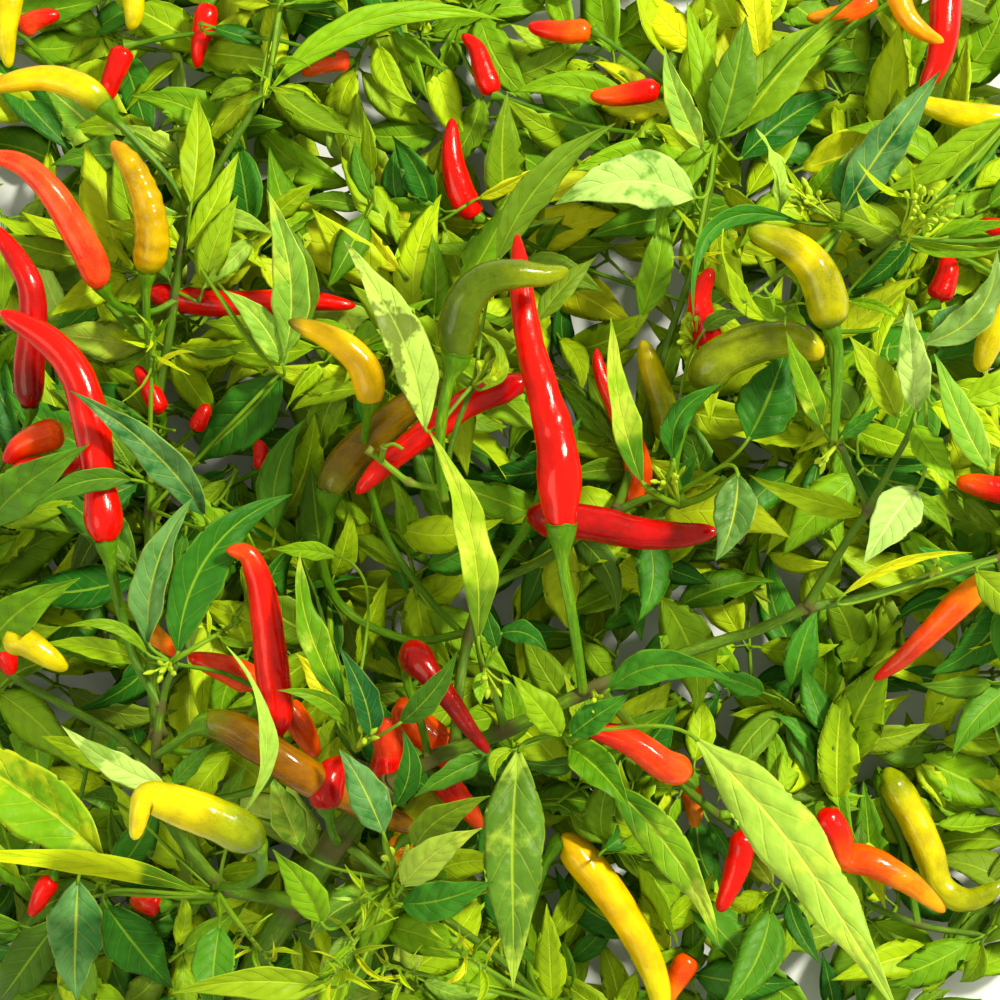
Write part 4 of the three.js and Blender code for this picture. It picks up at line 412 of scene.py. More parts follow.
# Clusters of buds: the node they stand on, and the middle and half size of the cluster in grid steps and mm.
BUDS = [
  ["crown_right", [900, 236, 56], [930, 208, 66], [26, 22, 6], 30],
  ["crown_left", [842, 225, 54], [806, 196, 62], [16, 16, 5], 9],
  ["back", [679, 504, 44], [668, 478, 56], [16, 12, 4], 9],
  ["fork", [593, 690, 58], [597, 700, 63], [8, 7, 2], 5],
  ["centre_top", [473, 386, 57], [486, 370, 62], [12, 12, 4], 6],
  ["centre", [484, 668, 58], [492, 684, 62], [12, 10, 3], 6],
  ["low_centre", [392, 882, 42], [400, 862, 60], [16, 12, 5], 8],
  ["twig_fork", [836, 446, 60], [826, 458, 64], [9, 7, 3], 5],
  ["upright", [170, 662, 59], [163, 672, 64], [13, 9, 3], 7],
  ["inner", [357, 748, 59], [366, 736, 64], [8, 7, 3], 4],
  ["right", [930, 578, 54], [934, 566, 58], [8, 6, 3], 4],
  ["top_back", [700, 350, 26], [694, 336, 40], [20, 20, 5], 12],
]


# ---------------------------------------------------------------- layout
def step_at(z):
    return GRID * (EYE - (z - FOCUS)) / EYE


def place(p):
    """A layout point (u, v, z) in the row frame, in mm."""
    k = step_at(p[2])
    return np.array([(p[0] - 500) * k, (500 - p[1]) * k, p[2]], float) + SHIFT


def seeded(seed):
    """The same even numbers from 0 to 1 on every run."""
    state = [seed & 0xFFFFFFFF]

    def following():
        state[0] = (state[0] + 0x6D2B79F5) & 0xFFFFFFFF
        t = state[0]
        t = ((t ^ (t >> 15)) * (t | 1)) & 0xFFFFFFFF
        t ^= (t + (((t ^ (t >> 7)) * (t | 61)) & 0xFFFFFFFF)) & 0xFFFFFFFF
        return (t ^ (t >> 14)) / 4294967296

    return following


def unit(v):
    return v / max(float(np.linalg.norm(v)), 1e-9)


def curve_through(points, per=24):
    """A smooth line through the points, with per steps between each two."""
    p = np.array(points, float)
    p = np.vstack([2 * p[0] - p[1], p, 2 * p[-1] - p[-2]])
    out = []
    s = np.linspace(0, 1, per, endpoint=False)[:, None]
    for i in range(1, len(p) - 2):
        a, b, c, d = p[i - 1], p[i], p[i + 1], p[i + 2]
        ta, tb, tc = [max(np.sum((y - x) ** 2) ** 0.25, 1e-4) for x, y in ((a, b), (b, c), (c, d))]
        m1 = ((b - a) / ta - (c - a) / (ta + tb) + (c - b) / tb) * tb
        m2 = ((c - b) / tb - (d - b) / (tb + tc) + (d - c) / tc) * tb
        out.append(b + m1 * s + (-3 * b + 3 * c - 2 * m1 - m2) * s**2 + (2 * b - 2 * c + m1 + m2) * s**3)
    out.append(p[-2][None, :])
    return np.vstack(out)


def lengths(line):
    return np.concatenate([[0], np.cumsum(np.linalg.norm(np.diff(line, axis=0), axis=1))])


def even(line, count):
    """count + 1 points at equal steps along a line."""
    d = lengths(line)
    w = np.linspace(0, d[-1], count + 1)
    return np.stack([np.interp(w, d, line[:, k]) for k in range(3)], 1)


def at_shares(line, shares):
    d = lengths(line)
    return np.stack([np.interp(np.asarray(shares) * d[-1], d, line[:, k]) for k in range(3)], 1)


def framed(points, up=(0.0, 0.0, 1.0)):
    """Directions along, up from and across a line, turning as little as they can."""
    ahead = np.gradient(points, axis=0)
    ahead /= np.maximum(np.linalg.norm(ahead, axis=1, keepdims=True), 1e-9)
    n = np.array(up, float)
    if abs(n @ ahead[0]) > 0.97:
        n = np.array([0.0, 1.0, 0.0])
    ups = []
    for a in ahead:
        n = unit(n - a * (n @ a))
        ups.append(n)
    ups = np.array(ups)
    return ahead, ups, np.cross(ahead, ups)


def ripple(p, scale, seed):
    """Cheap smooth noise from -1 to 1 over points in mm."""
    rng = np.random.default_rng(seed)
    total = np.zeros(p.shape[:-1])
    for octave in range(4):
        f = rng.normal(size=(3, 3)) * (1.6**octave) / scale
        total += np.sin(p @ f[0] + rng.uniform(0, 6.3)) * np.cos(p @ f[1] + rng.uniform(0, 6.3)) / (1.35**octave)
    return total / 2.2


def soft_step(x, a, b):
    t = np.clip((x - a) / (b - a), 0, 1)
    return t * t * (3 - 2 * t)


# ---------------------------------------------------------------- meshes
class Heap:
    """Gathers closed sweeps into one mesh."""

    def __init__(self):
        self.v, self.loops, self.sizes, self.uv, self.mat, self.tone = [], [], [], [], [], []
        self.n = 0

    def sweep(self, rings, along, mat=0, around=None, tone=(0.5, 0.0, 0.0), mats=None, caps=True):
        """rings is (R, C, 3) in mm; along gives each ring's v, around each column's u (C + 1 of them)."""
        R, C = rings.shape[:2]
        if around is None:
            around = np.linspace(0, 1, C + 1)
        i, j = np.meshgrid(np.arange(R - 1), np.arange(C), indexing="ij")
        k = (j + 1) % C
        quads = np.stack([self.n + i * C + j, self.n + (i + 1) * C + j, self.n + (i + 1) * C + k, self.n + i * C + k], -1)
        U, V = np.asarray(around), np.asarray(along)
        uv = np.stack([np.stack([U[j], V[i]], -1), np.stack([U[j], V[i + 1]], -1), np.stack([U[j + 1], V[i + 1]], -1), np.stack([U[j + 1], V[i]], -1)], 2)
        self.v.append(rings.reshape(-1, 3))
        self.loops.append(quads.reshape(-1))
        self.sizes.append(np.full(quads.shape[0] * quads.shape[1], 4))
        self.uv.append(uv.reshape(-1, 2))
        self.mat.append(np.full((R - 1) * C, mat) if mats is None else np.tile(np.asarray(mats), R - 1))
        t = np.asarray(tone, float)
        self.tone.append(np.broadcast_to(t, (R * C, 3)) if t.ndim == 1 else np.repeat(t, C, axis=0) if len(t) == R else t)
        if caps:
            for ring, order in ((0, np.arange(C)), (R - 1, np.arange(C)[::-1])):
                self.loops.append(self.n + ring * C + order)
                self.sizes.append(np.array([C]))
                self.uv.append(np.stack([U[order], np.full(C, V[ring])], -1))
                self.mat.append(np.array([mat if mats is None else mats[0]]))
        self.n += R * C

    def made(self, name, materials, node=None, slot=None):
        if not self.n:
            return None
        v = np.vstack(self.v)
        v[:, 2] = np.maximum(v[:, 2], 0.04)
        v /= 1000
        loops, sizes = np.concatenate(self.loops), np.concatenate(self.sizes)
        mesh = bpy.data.meshes.new(name)
        mesh.vertices.add(len(v))
        mesh.vertices.foreach_set("co", v.astype(np.float32).ravel())
        mesh.loops.add(len(loops))
        mesh.loops.foreach_set("vertex_index", loops.astype(np.int32))
        mesh.polygons.add(len(sizes))
        mesh.polygons.foreach_set("loop_start", np.concatenate([[0], np.cumsum(sizes)[:-1]]).astype(np.int32))
        mesh.polygons.foreach_set("material_index", np.concatenate(self.mat).astype(np.int32))
        mesh.polygons.foreach_set("use_smooth", np.ones(len(sizes), bool))
        layer = mesh.uv_layers.new(name="UVMap")
        layer.data.foreach_set("uv", np.vstack(self.uv).astype(np.float32).ravel())
        for m in materials:
            mesh.materials.append(m)
        mesh.update(calc_edges=True)
        mesh.validate()
        tone = mesh.attributes.new("tone", "FLOAT_COLOR", "POINT")
        t = np.vstack(self.tone)
        tone.data.foreach_set("color", np.hstack([t, np.ones((len(t), 1))]).astype(np.float32).ravel())
        o = bpy.data.objects.new(name, mesh)
        bpy.context.scene.collection.objects.link(o)
        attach(o, "root")
        if node:
            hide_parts(*([node] if isinstance(node, str) else node))
        return o


def round_rings(points, radii, sides, relief=None):
    """Rings of a round sweep. relief is (R, C), added to the radius."""
    ahead, up, side = framed(points)
    a = 2 * np.pi * (np.arange(sides) + 0.5) / sides
    r = np.broadcast_to(np.asarray(radii)[:, None], (len(points), sides)).copy()
    if relief is not None:
        r = r + relief
    return points[:, None, :] + r[..., None] * (np.cos(a)[None, :, None] * side[:, None, :] + np.sin(a)[None, :, None] * up[:, None, :])


# ---------------------------------------------------------------- materials
def shader(name):
    m = bpy.data.materials.new(name)
    m.use_nodes = True
    t = m.node_tree
    for n in list(t.nodes):
        t.nodes.remove(n)
    out = t.nodes.new("ShaderNodeOutputMaterial")
    b = t.nodes.new("ShaderNodeBsdfPrincipled")
    t.links.new(b.outputs[0], out.inputs[0])
    return m, t, b


class Graph:
    """Short names for the nodes used below."""

    def __init__(self, tree):
        self.t = tree

    def put(self, socket, value):
        if hasattr(value, "is_output"):
            self.t.links.new(value, socket)
        else:
            socket.default_value = value

    def uv(self):
        n = self.t.nodes.new("ShaderNodeUVMap")
        n.uv_map = "UVMap"
        s = self.t.nodes.new("ShaderNodeSeparateXYZ")
        self.t.links.new(n.outputs[0], s.inputs[0])
        return s.outputs[0], s.outputs[1]

    def where(self):
        return self.t.nodes.new("ShaderNodeTexCoord").outputs["Object"]

    def tone(self):
        n = self.t.nodes.new("ShaderNodeAttribute")
        n.attribute_name = "tone"
        s = self.t.nodes.new("ShaderNodeSeparateColor")
        self.t.links.new(n.outputs["Color"], s.inputs[0])
        return s.outputs[0], s.outputs[1], s.outputs[2]

    def math(self, op, a, b=0.0, c=0.0, clamp=False):
        n = self.t.nodes.new("ShaderNodeMath")
        n.operation = op
        n.use_clamp = clamp
        for s, x in zip(n.inputs, (a, b, c)):
            self.put(s, x)
        return n.outputs[0]

    def ramp(self, x, lo, hi, a=0.0, b=1.0, smooth=True):
        n = self.t.nodes.new("ShaderNodeMapRange")
        n.interpolation_type = "SMOOTHSTEP" if smooth else "LINEAR"
        for s, v in zip(n.inputs, (x, lo, hi, a, b)):
            self.put(s, v)
        return n.outputs[0]

    def noise(self, vector, scale, detail=3.0, rough=0.55, squash=None):
        if squash is not None:
            m = self.t.nodes.new("ShaderNodeMapping")
            m.inputs["Scale"].default_value = squash
            self.put(m.inputs[0], vector)
            vector = m.outputs[0]
        n = self.t.nodes.new("ShaderNodeTexNoise")
        self.put(n.inputs["Vector"], vector)
        n.inputs["Scale"].default_value = scale
        n.inputs["Detail"].default_value = detail
        n.inputs["Roughness"].default_value = rough
        return n.outputs[0]

    def cells(self, vector, scale):
        n = self.t.nodes.new("ShaderNodeTexVoronoi")
        n.feature = "DISTANCE_TO_EDGE"
        self.put(n.inputs["Vector"], vector)
        n.inputs["Scale"].default_value = scale
        return n.outputs[0]

    def mix(self, f, a, b, how="MIX"):
        n = self.t.nodes.new("ShaderNodeMix")
        n.data_type = "RGBA"
        n.blend_type = how
        self.put(n.inputs[0], f)
        for s, x in ((n.inputs[6], a), (n.inputs[7], b)):
            self.put(s, x if hasattr(x, "is_output") else (*x[:3], 1.0))
        return n.outputs[2]

    def colours(self, x, stops):
        n = self.t.nodes.new("ShaderNodeValToRGB")
        n.color_ramp.interpolation = "EASE"
        e = n.color_ramp.elements
        while len(e) < len(stops):
            e.new(0.5)
        for el, (p, c) in zip(e, stops):
            el.position = p
            el.color = (*c[:3], 1.0)
        self.put(n.inputs[0], x)
        return n.outputs[0]

    def join(self, x, y, z=0.0):
        n = self.t.nodes.new("ShaderNodeCombineXYZ")
        for s, v in zip(n.inputs, (x, y, z)):
            self.put(s, v)
        return n.outputs[0]

    def bump(self, height, strength, distance):
        n = self.t.nodes.new("ShaderNodeBump")
        n.inputs["Strength"].default_value = strength
        n.inputs["Distance"].default_value = distance
        self.put(n.inputs["Height"], height)
        return n.outputs[0]


VEINS, LEAN, BEND = 7.0, 0.2, 1.2   # side veins to a half blade, how far each runs on, and how it curves


def leaf_material(name, deep, light, vein, gold=None, amount=0.0, least=0.66, soft=0.22, tip=0.0, foot=None, rough=0.4, under=False):
    m, t, b = shader(name)
    g = Graph(t)
    x, y = g.uv()
    where = g.where()
    own, age, _ = g.tone()
    s = g.math("ABSOLUTE", g.math("MULTIPLY_ADD", x, 2.0, -1.0))
    phase = g.math("SUBTRACT", g.math("MULTIPLY", y, VEINS * 1.05), g.math("MULTIPLY", g.math("POWER", s, BEND), VEINS * LEAN))
    wobble = g.noise(where, 140.0, 1.0)
    phase = g.math("ADD", phase, g.math("MULTIPLY_ADD", wobble, 0.3, -0.15))
    d = g.math("ABSOLUTE", g.math("SUBTRACT", g.math("FRACT", g.math("ADD", phase, 0.5)), 0.5))
    side = g.math("MULTIPLY", g.ramp(d, 0.015, 0.09, 1.0, 0.0), g.ramp(s, 0.55, 0.98, 0.8, 0.0))
    mid = g.ramp(s, 0.02, 0.085, 1.0, 0.0)
    lines = g.math("MAXIMUM", side, mid)
    broad = g.noise(where, 70.0, 1.0)
    fine = g.noise(where, 420.0, 2.0)
    blend = g.math("ADD", g.math("MULTIPLY", broad, 0.75), g.math("MULTIPLY", fine, 0.45))
    blend = g.math("ADD", blend, g.math("MULTIPLY_ADD", own, 0.85, -0.62))
    # Lighter midway between the side veins, where the blade bulges, and darker beside them: painted light and shade of
    # the puckering.
    blend = g.math("ADD", blend, g.math("MULTIPLY", d, 0.25), clamp=True)
    colour = g.mix(blend, deep, light)
    # Patches of the gold colour: painted sun dapples and sheen on the blade, with the deep colour between them as
    # painted shade, in some looks partly the blade's own mottling; tip spreads them towards the tip, painted light
    # along the blade.
    if gold:
        painted_light_patch = g.math("ADD", g.noise(where, 95.0, 1.0), g.math("MULTIPLY", fine, 0.40))
        if tip:
            painted_light_patch = g.math("ADD", painted_light_patch, g.math("MULTIPLY", g.ramp(y, 0.45, 0.95), tip))
        colour = g.mix(g.math("MULTIPLY", g.ramp(painted_light_patch, least, least + soft), amount), colour, gold)
    # foot darkens the lower part of the blade: painted shade.
    if foot:
        share = g.math("ADD", y, g.math("MULTIPLY_ADD", wobble, 0.22, -0.11))
        colour = g.mix(g.ramp(share, 0.22, 0.30, 0.9, 0.0), colour, foot)
    rim = g.math("MULTIPLY", g.ramp(g.math("ADD", s, g.math("MULTIPLY_ADD", wobble, 0.12, -0.06)), 0.90, 0.985), 0.55)
    colour = g.mix(g.math("MAXIMUM", rim, g.math("MULTIPLY", g.math("MAXIMUM", g.math("MULTIPLY", side, 0.36), mid), 0.72)), colour, vein)
    colour = g.mix(g.math("MULTIPLY", age, 0.45), colour, (0.56, 0.52, 0.02))
    t.links.new(colour, b.inputs["Base Color"])
    t.links.new(g.math("ADD", g.math("MULTIPLY", fine, 0.22), rough - 0.1), b.inputs["Roughness"])
    relief = g.math("MULTIPLY", lines, 1.2 if under else -0.45)
    relief = g.math("ADD", relief, g.math("MULTIPLY", fine, 0.8))
    relief = g.math("ADD", relief, g.math("MULTIPLY", g.noise(where, 230.0, 1.0), 1.6))
    t.links.new(g.bump(relief, 0.80, 0.00036), b.inputs["Normal"])
    b.inputs["Specular IOR Level"].default_value = 0.08 if under else 0.11
    return m


def pod_material(name, stops):
    """Waxy skin whose colours run along the pod: each stop is a place and three colours, deep, clear and light."""
    m, t, b = shader(name)
    g = Graph(t)
    x, y = g.uv()
    where = g.where()
    far = g.noise(where, 60.0, 2.0)
    y2 = g.math("ADD", y, g.math("MULTIPLY_ADD", far, 0.16, -0.08))
    deep = g.colours(y2, [(p, c[0]) for p, c in stops])
    clear = g.colours(y2, [(p, c[1]) for p, c in stops])
    light = g.colours(y2, [(p, c[2]) for p, c in stops])
    streak = g.noise(g.join(g.math("MULTIPLY", x, 14.0), g.math("MULTIPLY", y, 2.2)), 1.0, 3.0)
    cloud = g.noise(where, 170.0, 3.0)
    c = g.mix(g.ramp(cloud, 0.30, 0.72), deep, clear)
    c = g.mix(g.math("MULTIPLY", g.ramp(streak, 0.52, 0.85), 0.55), c, light)
    speck = g.ramp(g.cells(where, 1500.0), 0.0, 0.3, 1.0, 0.0)
    c = g.mix(g.math("MULTIPLY", speck, 0.10), c, light)
    t.links.new(c, b.inputs["Base Color"])
    fine = g.noise(where, 900.0, 3.0)
    t.links.new(g.math("MULTIPLY_ADD", g.noise(where, 240.0, 3.0), 0.16, 0.13), b.inputs["Roughness"])
    wrinkle = g.noise(g.join(g.math("MULTIPLY", x, 9.0), g.math("MULTIPLY", y, 7.0)), 1.0, 4.0)
    relief = g.math("ADD", g.math("MULTIPLY", wrinkle, 1.0), g.math("MULTIPLY", fine, 0.12))
    t.links.new(g.bump(relief, 0.42, 0.0007), b.inputs["Normal"])
    b.inputs["Specular IOR Level"].default_value = 0.12
    b.inputs["Coat Weight"].default_value = 0.30
    b.inputs["Coat Roughness"].default_value = 0.10
    b.inputs["Subsurface Weight"].default_value = 0.08
    b.inputs["Subsurface Radius"].default_value = (0.9, 0.25, 0.08)
    b.inputs["Subsurface Scale"].default_value = 0.0015
    return m


def green_material(name, deep, mid, light, brown, rough, ridge):
    """Stem skin: streaks along it, browner at the joints, which tone's green channel marks."""
    m, t, b = shader(name)
    g = Graph(t)
    x, y = g.uv()
    where = g.where()
    _, joint, _ = g.tone()
    streak = g.noise(g.join(g.math("MULTIPLY", x, ridge), g.math("MULTIPLY", y, 0.35)), 1.0, 4.0)
    cloud = g.noise(where, 130.0, 4.0)
    c = g.colours(g.math("ADD", g.math("MULTIPLY", streak, 0.6), g.math("MULTIPLY", cloud, 0.45)), [(0.28, deep), (0.52, mid), (0.80, light)])
    fleck = g.ramp(g.noise(where, 900.0, 3.0), 0.60, 0.72)
    c = g.mix(g.math("MULTIPLY", fleck, 0.35), c, light)
    c = g.mix(g.ramp(g.math("ADD", joint, g.math("MULTIPLY_ADD", g.noise(where, 500.0, 3.0), 0.7, -0.35)), 0.25, 0.85), c, brown)
    t.links.new(c, b.inputs["Base Color"])
    t.links.new(g.math("MULTIPLY_ADD", cloud, 0.25, rough - 0.12), b.inputs["Roughness"])
    relief = g.math("ADD", streak, g.math("MULTIPLY", g.noise(where, 1400.0, 3.0), 0.3))
    t.links.new(g.bump(relief, 0.5, 0.0003), b.inputs["Normal"])
    b.inputs["Specular IOR Level"].default_value = 0.18
    return m


# Leaf looks. The greens are partly the leaves' own range, young lime to old dark, and partly painted light and shade:
# the paler looks (lime, yellow, pale, white, sunlit) stand partly for sunlit leaves, dark and blue partly for leaves in
# shade, and the patches of several looks are painted sun, sheen and shade on the blade.
LEAF_LOOKS = {
    "dark": dict(deep=(0.008, 0.084, 0.006), light=(0.050, 0.215, 0.012), vein=(0.20, 0.37, 0.02), rough=0.42),
    "blue": dict(deep=(0.008, 0.080, 0.018), light=(0.048, 0.195, 0.034), vein=(0.30, 0.42, 0.03), rough=0.38),
    "mid": dict(deep=(0.048, 0.165, 0.003), light=(0.200, 0.395, 0.005), vein=(0.30, 0.47, 0.02), rough=0.44),
    "lime": dict(deep=(0.145, 0.290, 0.002), light=(0.405, 0.570, 0.005), vein=(0.50, 0.68, 0.03), rough=0.46),
    "pale": dict(deep=(0.130, 0.310, 0.022), light=(0.360, 0.570, 0.085), vein=(0.56, 0.68, 0.10), gold=(0.52, 0.66, 0.06), amount=0.6, least=0.74, rough=0.44),
    "white": dict(deep=(0.230, 0.390, 0.090), light=(0.460, 0.610, 0.220), vein=(0.56, 0.70, 0.30), rough=0.42),
    # pale grey-green blade with patches of painted sheen
    "pale_sheen": dict(deep=(0.065, 0.200, 0.024), light=(0.220, 0.410, 0.070), vein=(0.42, 0.60, 0.18), gold=(0.370, 0.560, 0.150), amount=0.90, least=0.60, soft=0.14, rough=0.44),
    "yellow": dict(deep=(0.270, 0.340, 0.002), light=(0.560, 0.600, 0.005), vein=(0.66, 0.74, 0.03), rough=0.46),
    "sunny": dict(deep=(0.090, 0.240, 0.004), light=(0.270, 0.440, 0.016), vein=(0.44, 0.55, 0.04), gold=(0.45, 0.54, 0.06), amount=0.7, least=0.66, foot=(0.030, 0.140, 0.005), rough=0.44),
    "sunlit": dict(deep=(0.230, 0.350, 0.002), light=(0.500, 0.610, 0.005), vein=(0.56, 0.64, 0.03), foot=(0.030, 0.140, 0.005), rough=0.44),
    "golden": dict(deep=(0.050, 0.190, 0.003), light=(0.210, 0.420, 0.006), vein=(0.52, 0.56, 0.03), gold=(0.44, 0.50, 0.008), amount=0.7, least=0.66, rough=0.44),
    "patched": dict(deep=(0.008, 0.090, 0.030), light=(0.030, 0.170, 0.045), vein=(0.24, 0.42, 0.08), gold=(0.31, 0.54, 0.11), amount=1.0, least=0.60, soft=0.08, rough=0.40),
    "mottled": dict(deep=(0.008, 0.085, 0.012), light=(0.050, 0.210, 0.016), vein=(0.28, 0.44, 0.03), gold=(0.30, 0.46, 0.05), amount=0.85, least=0.76, tip=0.26, rough=0.40),
    "tipped": dict(deep=(0.008, 0.085, 0.016), light=(0.045, 0.200, 0.026), vein=(0.26, 0.42, 0.04), gold=(0.28, 0.44, 0.08), amount=0.85, least=0.72, tip=0.40, rough=0.40),
    "sheen": dict(deep=(0.010, 0.092, 0.020), light=(0.060, 0.215, 0.045), vein=(0.40, 0.50, 0.05), gold=(0.130, 0.290, 0.100), amount=0.60, least=0.56, rough=0.34),
}
TINT_NAMES = list(LEAF_LOOKS)
LEAF_MATERIALS = [leaf_material("leaf_" + k, **v) for k, v in LEAF_LOOKS.items()]
UNDER = {
    "dark": (0.080, 0.190, 0.020), "blue": (0.090, 0.200, 0.040), "mid": (0.140, 0.310, 0.012), "lime": (0.260, 0.450, 0.012),
    "pale": (0.230, 0.430, 0.040), "white": (0.300, 0.460, 0.100), "pale_sheen": (0.200, 0.380, 0.060), "sunlit": (0.340, 0.470, 0.012), "yellow": (0.380, 0.500, 0.015), "sunny": (0.250, 0.430, 0.015),
    "golden": (0.160, 0.330, 0.012), "patched": (0.090, 0.250, 0.040), "mottled": (0.095, 0.240, 0.020), "tipped": (0.090, 0.230, 0.025), "sheen": (0.080, 0.210, 0.035),
}
for k in TINT_NAMES:
    c = UNDER[k]
    LEAF_MATERIALS.append(leaf_material("under_" + k, tuple(x * 0.75 for x in c), tuple(min(1, x * 1.35) for x in c), tuple(min(1, x * 1.6) for x in c), rough=0.55, under=True))
BARK = green_material("bark_green", (0.022, 0.060, 0.003), (0.064, 0.145, 0.005), (0.195, 0.300, 0.016), (0.085, 0.084, 0.022), 0.5, 26.0)
STALK = green_material("stalk_green", (0.018, 0.080, 0.001), (0.066, 0.180, 0.002), (0.215, 0.350, 0.008), (0.115, 0.170, 0.012), 0.38, 16.0)
TWIG = green_material("twig_green", (0.050, 0.130, 0.003), (0.130, 0.265, 0.006), (0.300, 0.430, 0.020), (0.140, 0.160, 0.020), 0.45, 10.0)
BUD = green_material("bud_green", (0.170, 0.300, 0.008), (0.370, 0.520, 0.020), (0.560, 0.640, 0.070), (0.430, 0.460, 0.050), 0.42, 8.0)


def cut_material():
    m, t, b = shader("cut_wood")
    g = Graph(t)
    x, y = g.uv()
    where = g.where()
    c = g.colours(g.math("ADD", y, g.math("MULTIPLY_ADD", g.noise(where, 900.0, 4.0), 0.16, -0.08)), [(0.0, (0.52, 0.50, 0.30)), (0.45, (0.62, 0.60, 0.38)), (0.62, (0.40, 0.42, 0.17)), (0.86, (0.20, 0.28, 0.07)), (1.0, (0.10, 0.12, 0.04))])
    t.links.new(c, b.inputs["Base Color"])
    ray = g.noise(g.join(g.math("MULTIPLY", x, 60.0), g.math("MULTIPLY", y, 3.0)), 1.0, 3.0)
    t.links.new(g.bump(g.math("ADD", ray, g.noise(where, 2500.0, 2.0)), 0.6, 0.0003), b.inputs["Normal"])
    b.inputs["Roughness"].default_value = 0.7
    return m


CUT = cut_material()

# ---------------------------------------------------------------- limbs
LIMB_LINES = {row[0]: curve_through([place(p) for p in row[4]]) for row in LIMBS}
JOINTS = [place(h[1]) for h in HUBS.values()] + [place(f[4][0]) for f in FRUITS] + [place(row[4][0]) for row in LIMBS if row[1]]
JOINTS = np.array(JOINTS)


def make_limb(row):
    name, parent, r0, r1, route = row
    line = LIMB_LINES[name]
    length = lengths(line)[-1]
    count = int(length / 0.55)
    points = even(line, count)
    shares = np.linspace(0, 1, count + 1)
    way = shares * length
    r = r0 + (r1 - r0) * shares
    # joints swell, and a side limb flares where it leaves the one that bears it
    near = np.linalg.norm(points[:, None, :] - JOINTS[None], axis=2).min(1)
    knot = np.exp(-((near / (1.5 * r + 0.6)) ** 2))
    r = r * {"main_stem": 0.94, "main_arm": 0.70}.get(name, 0.84) * (1 + 0.20 * knot + 0.04 * ripple(points, 7.0, 5))
    if parent:
        r = r * (1 + 0.35 * np.exp(-way / (1.6 * r0)))
    if name in ("right_arm", "lower_arm", "bottom_arm"):
        r = r * np.sqrt(np.clip((length - way) / 3.0, 0.02, 1))
    sides = 30 if r0 > 1.9 else 22
    a = 2 * np.pi * (np.arange(sides) + 0.5) / sides
    twist = way[:, None] * 0.018
    ridge = 0.045 * np.cos(5 * a[None, :] + twist * 5 + 1.3) + 0.018 * np.cos(11 * a[None, :] - twist * 9)
    ring_at = points[:, None, :] + r[:, None, None] * np.stack([np.cos(a), np.sin(a), 0 * a], -1)[None]
    rough = 0.028 * ripple(ring_at, 1.5, 11) + 0.05 * knot[:, None] * ripple(ring_at, 1.1, 23)
    rings = round_rings(points, r, sides, r[:, None] * (ridge + rough))
    heap = Heap()
    tone = np.stack([np.full(len(r), 0.5), np.clip(knot * 0.9 + (0.15 if r0 > 2.5 else 0), 0, 1), shares], 1)
    if name == "main_stem":
        # the flat cut: rings of pith, wood and bark inside the outer edge
        face = np.array([rings[0] * k + points[0] * (1 - k) for k in (0.02, 0.2, 0.42, 0.62, 0.78, 0.9, 0.97)])
        heap.sweep(np.concatenate([face, rings[:1]]), [0.0, 0.2, 0.42, 0.62, 0.78, 0.9, 0.97, 1.0], 1, tone=(0.5, 0, 0), caps=False)
        closed = np.concatenate([rings, rings[-1:] * 0.02 + points[-1] * 0.98])
        heap.sweep(closed, np.append(way, way[-1]) * 0.9, 0, tone=np.vstack([tone, tone[-1:]]), caps=False)
    else:
        heap.sweep(rings, way * 0.9, 0, tone=tone)
    return heap.made("bark_" + name, [BARK, CUT], name, "stem")


for row in LIMBS:
    make_limb(row)

